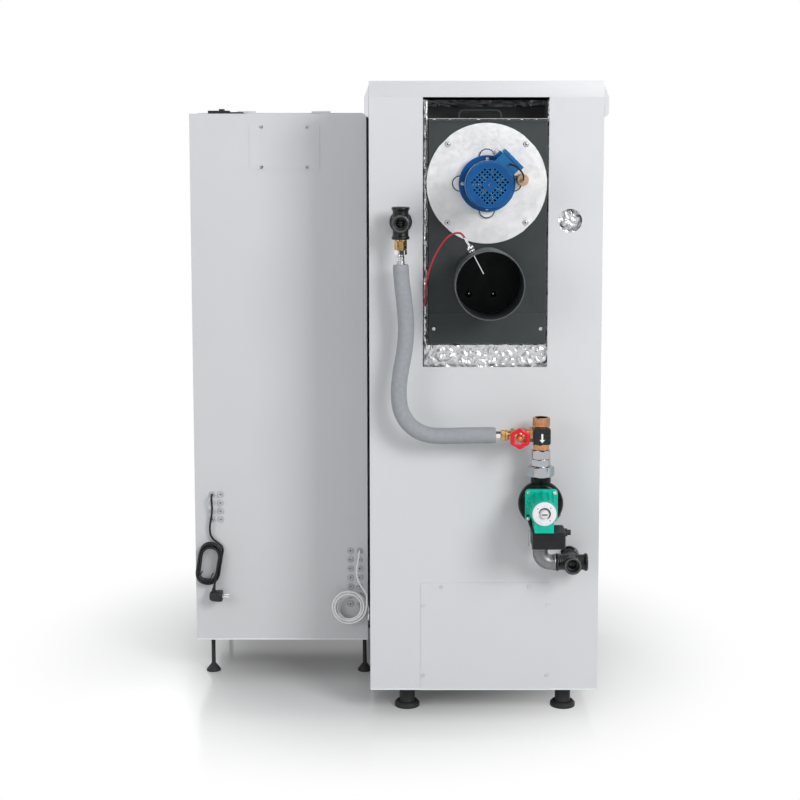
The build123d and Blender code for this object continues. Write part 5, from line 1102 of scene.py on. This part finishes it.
tie = Shape()
tie_place = basis((HANK[0] + 5, HOPPER_REAR_Y + 16, HANK[1] - 27), tuple(-hank_way))
tie_line = [tie_place @ Vector((y, x, 0)) for x, y in rounded(80, 28, 8, 5)]
tie.pipe(tie_line + tie_line[:2], 1.3, 10, caps=False)
knot = tie_place @ Vector((0, 41, 0))
for n, swing in enumerate((-0.5, 0.4)):
    bend, end = Vector((2.2, 2 + n, 5 * swing)), Vector((3.6, 4.5 + n, 9 * swing))
    tie.pipe([knot, knot + bend, knot + end], 1.1, 10)
tie_piece = tie.make("hank_tie", "black_plastic", slot="mains_hank", smooth=50)
COIL = (109.6, 197)
COIL_Y = 84
coil_fans = [(5, 3), (3, 0.6), (-1, -4), (-2, -7)]
coil = turns(COIL, COIL_Y, 46.5, 0, 3.25, -6.5, 16, 4, 0, coil_fans)
sensor_route = [(0, 3.5, 0), (0, 15, 0), (1.5, 21, -12), (5, 20.5, -34), (7, 20, -56)]
sensor_route += [(2.5, 21.5, -76), (-8, 23, -93), (-19, 26.5, -108)]
sensor_lead = lead(87.3, 342.1, sensor_route)
sensor_lead.append((coil[0][0] - 0.6, COIL_Y, coil[0][2] + 19))
sensor = cord_curve("sensor_cable", sensor_lead + coil, 2.5, "white_cable")
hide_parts("sensor_lead", "sensor_coil")
tip = [(2.6, -0.4), (3, 0.2), (3, 4.4), (2.7, 4.9), (2.7, 5.7), (3, 6.2), (3, 29.6), (2.3, 31.4),
       (0, 32)]
place = basis(coil[-1], DOWN)
sleeve_piece = turned("sensor_sleeve_tip", "chrome", place, tip, 36, replaces=("sensor_sleeve",), smooth=40)

motor_route = [
    (-275.5, 395.5, 1344), (-275.5, 406.5, 1344), (-284.5, 414.5, 1341), (-297.5, 415.5, 1332),
    (-306, 407.5, 1319), (-307, 392.5, 1310.5), (-307, 384.5, 1307.5), (-307, 380.5, 1307.5),
]
motor_lead = cord_curve("motor_lead", motor_route, 2.2, "black_cable")
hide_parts("motor_cable")
probe_route = [
    (-171.3, 382.5, 1173.8), (-165.2, 382.5, 1185.2), (-147.5, 381.5, 1185), (-128.5, 376.5, 1172),
    (-109.5, 366.5, 1143), (-93.5, 351.5, 1108), (-83.5, 334.5, 1070), (-81.1, 319.5, 1035),
    (-81.1, 311.5, 1012), (-81.1, 298.5, 1006), (-81.1, 286.5, 1006),
]
probe_lead = cord_curve("probe_lead", probe_route, 2.5, "red_cable")
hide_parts("probe_cable")
hose_route = [
    (x, PIPE_Y, z)
    for x, z in (
        (-22.7, 1119), (-23.7, 1080), (-31.7, 1020), (-36.7, 960), (-31.7, 903), (-20.7, 850), (-16.7, 800),
        (-23.7, 757), (-48.7, 723), (-86.7, 705), (-132.7, 704), (-188.7, 706), (-247, 706),
    )
]
hose = cord_curve("braided_hose", hose_route, 9.5, "braid")
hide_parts("steel_hose", "hose_foam")
path = [here for here in (point / MM for point in centre_line(hose)) if here.z < 1117.5]
dense = []
for a, b in zip(path, path[1:]):
    parts = max(1, round((b - a).length / 4))
    dense += [a.lerp(b, k / parts) for k in range(parts)]
dense.append(path[-1])
radii = []
for n, here in enumerate(dense):
    edge = min(n, len(dense) - 1 - n)
    fat = 19 + 0.55 * noise.noise(here / 45) + 0.25 * noise.noise(here / 14)
    radii.append(fat - (1.6 if edge == 0 else 0.5 if edge == 1 else 0))
foam_piece = Shape().pipe(dense, radii, 40).make("hose_foam_sleeve", "foam", slot="hose_foam", smooth=60)
for piece, route, thick, far, lay, extra in (
    (mains, mains_lead, 0.0055, "plug", "coiled", [plug_piece, pin_piece, tie_piece]),
    (sensor, sensor_lead, 0.005, "fitting", "coiled", [sleeve_piece]),
    (motor_lead, motor_route, 0.0044, "object", "loose", []),
    (probe_lead, probe_route, 0.005, "object", "loose", []),
    (hose, hose_route, 0.019, "fitting", "loose", [foam_piece, hose_ends_piece]),
):
    line_length(piece)

# Camera, lights and floor
scene = bpy.context.scene
camera_data = bpy.data.cameras.new("camera")
camera_data.lens = 68.38
camera_data.sensor_width = 36
camera_data.shift_x = -0.0173
camera_data.shift_y = -0.115
camera = put("camera", camera_data)
camera.location = (-0.0536, 3.9125, 1.3836)
CAMERA_TILT = 6.05
camera.rotation_euler = (radians(90 - CAMERA_TILT), 0, radians(180))
scene.camera = camera


def softbox(name, place, target, width, height, power):
    """A rectangular lamp that faces its target."""
    lamp = bpy.data.lights.new(name, "AREA")
    lamp.shape = "RECTANGLE"
    lamp.size, lamp.size_y = width, height
    lamp.energy = power
    made = put(name, lamp)
    made.location = place
    made.rotation_euler = (Vector(target) - Vector(place)).to_track_quat("-Z", "Y").to_euler()
    made.visible_camera = False


softbox("key", (-2.6, 3.6, 2.7), (-0.1, 0.2, 1.2), 1.5, 1.5, 108)
softbox("fill", (3, 3.2, 1.9), (0.1, 0, 1.1), 1.4, 2, 30)
softbox("top", (0.1, 0.6, 3.3), (0, 0.1, 1), 2, 1.6, 5)
softbox("front_key", (1.8, -3.4, 2.4), (0, -0.2, 0.8), 1.8, 1.8, 45)


def white_for_eye(tree, plain, white, amount):
    """Mixes in plain white for rays from the camera, or seen in metal or glass."""
    rays = add(tree, "LightPath").outputs
    gloss, glass = rays["Is Glossy Ray"], rays["Is Transmission Ray"]
    mirrored = add(tree, "Math", {0: gloss, 1: glass}, operation="MAXIMUM")
    seen = add(tree, "Math", {0: rays["Is Camera Ray"], 1: mirrored.outputs[0]}, operation="MAXIMUM")
    share = add(tree, "Math", {0: seen.outputs[0], 1: amount}, operation="MULTIPLY")
    return add(tree, "MixShader", {0: share.outputs[0], 1: plain, 2: white}).outputs[0]


world = bpy.data.worlds.new("world")
scene.world = world
world.use_nodes = True
tree = world.node_tree
ambient = tree.nodes["Background"]
ambient.inputs["Color"].default_value = (0.97, 0.985, 1, 1)
ambient.inputs["Strength"].default_value = 0.52
white = add(tree, "Background", {"Color": (1, 1, 1, 1), "Strength": 1})
mixed = white_for_eye(tree, ambient.outputs[0], white.outputs[0], 1)
tree.links.new(mixed, tree.nodes["World Output"].inputs["Surface"])


def plain_material(name, color, rough):
    """A material of one colour."""
    made = bpy.data.materials.new(name)
    made.use_nodes = True
    shader = made.node_tree.nodes["Principled BSDF"]
    shader.inputs["Base Color"].default_value = color
    shader.inputs["Roughness"].default_value = rough
    return made


# The floor is paper near the object and fades to plain white further out
paper = plain_material("floor_paper", (0.72, 0.72, 0.72, 1), 0.16)
tree = paper.node_tree
shader = tree.nodes["Principled BSDF"]
glow = add(tree, "Emission", {"Color": (1, 1, 1, 1), "Strength": 1})
spot = add(tree, "NewGeometry").outputs["Position"]
from_middle = add(tree, "VectorMath", {0: spot, 1: (0.05, -0.25, 0)}, operation="SUBTRACT")
far = add(tree, "VectorMath", {0: from_middle.outputs["Vector"]}, operation="LENGTH")
limits = {"Value": far.outputs["Value"], "From Min": 0.4, "From Max": 1.05, "To Min": 0.05, "To Max": 1}
fade = add(tree, "MapRange", limits, interpolation_type="SMOOTHSTEP").outputs["Result"]
mixed = white_for_eye(tree, shader.outputs[0], glow.outputs[0], fade)
tree.links.new(mixed, tree.nodes["Material Output"].inputs["Surface"])
floor_mesh = bpy.data.meshes.new("floor")
FLOOR_REACH, FLOOR_Z = 14, -0.0003
floor_corners = [(x * FLOOR_REACH, y * FLOOR_REACH, FLOOR_Z) for x, y in ((-1, -1), (1, -1), (1, 1),
                 (-1, 1))]
floor_mesh.from_pydata(floor_corners, [], [(0, 1, 2, 3)])
floor_mesh.materials.append(paper)
floor = put("floor", floor_mesh)

# Dark cards that only gloss and metal see, so that they show their form
dark = plain_material("dark_card", (0.05, 0.05, 0.055, 1), 0.9)
CARD_DISTANCE, CARD_HEIGHT = 5, 3
for n, (around, wide) in enumerate(((64, 3.2), (16, 2.5), (-20, 1.5), (-84, 2.6))):
    toward = Vector((sin(radians(around)), cos(radians(around)), 0))
    middle = toward * CARD_DISTANCE
    side = Vector((-toward.y, toward.x, 0)) * wide / 2
    top = Vector((0, 0, CARD_HEIGHT))
    card_corners = [middle - side, middle + side, middle + side + top, middle - side + top]
    mesh = bpy.data.meshes.new("card")
    mesh.from_pydata(card_corners, [], [(0, 1, 2, 3)])
    mesh.materials.append(dark)
    card = put(f"card_{n}", mesh)
    card.visible_camera = card.visible_shadow = card.visible_diffuse = False
scene.view_settings.view_transform = "Standard"
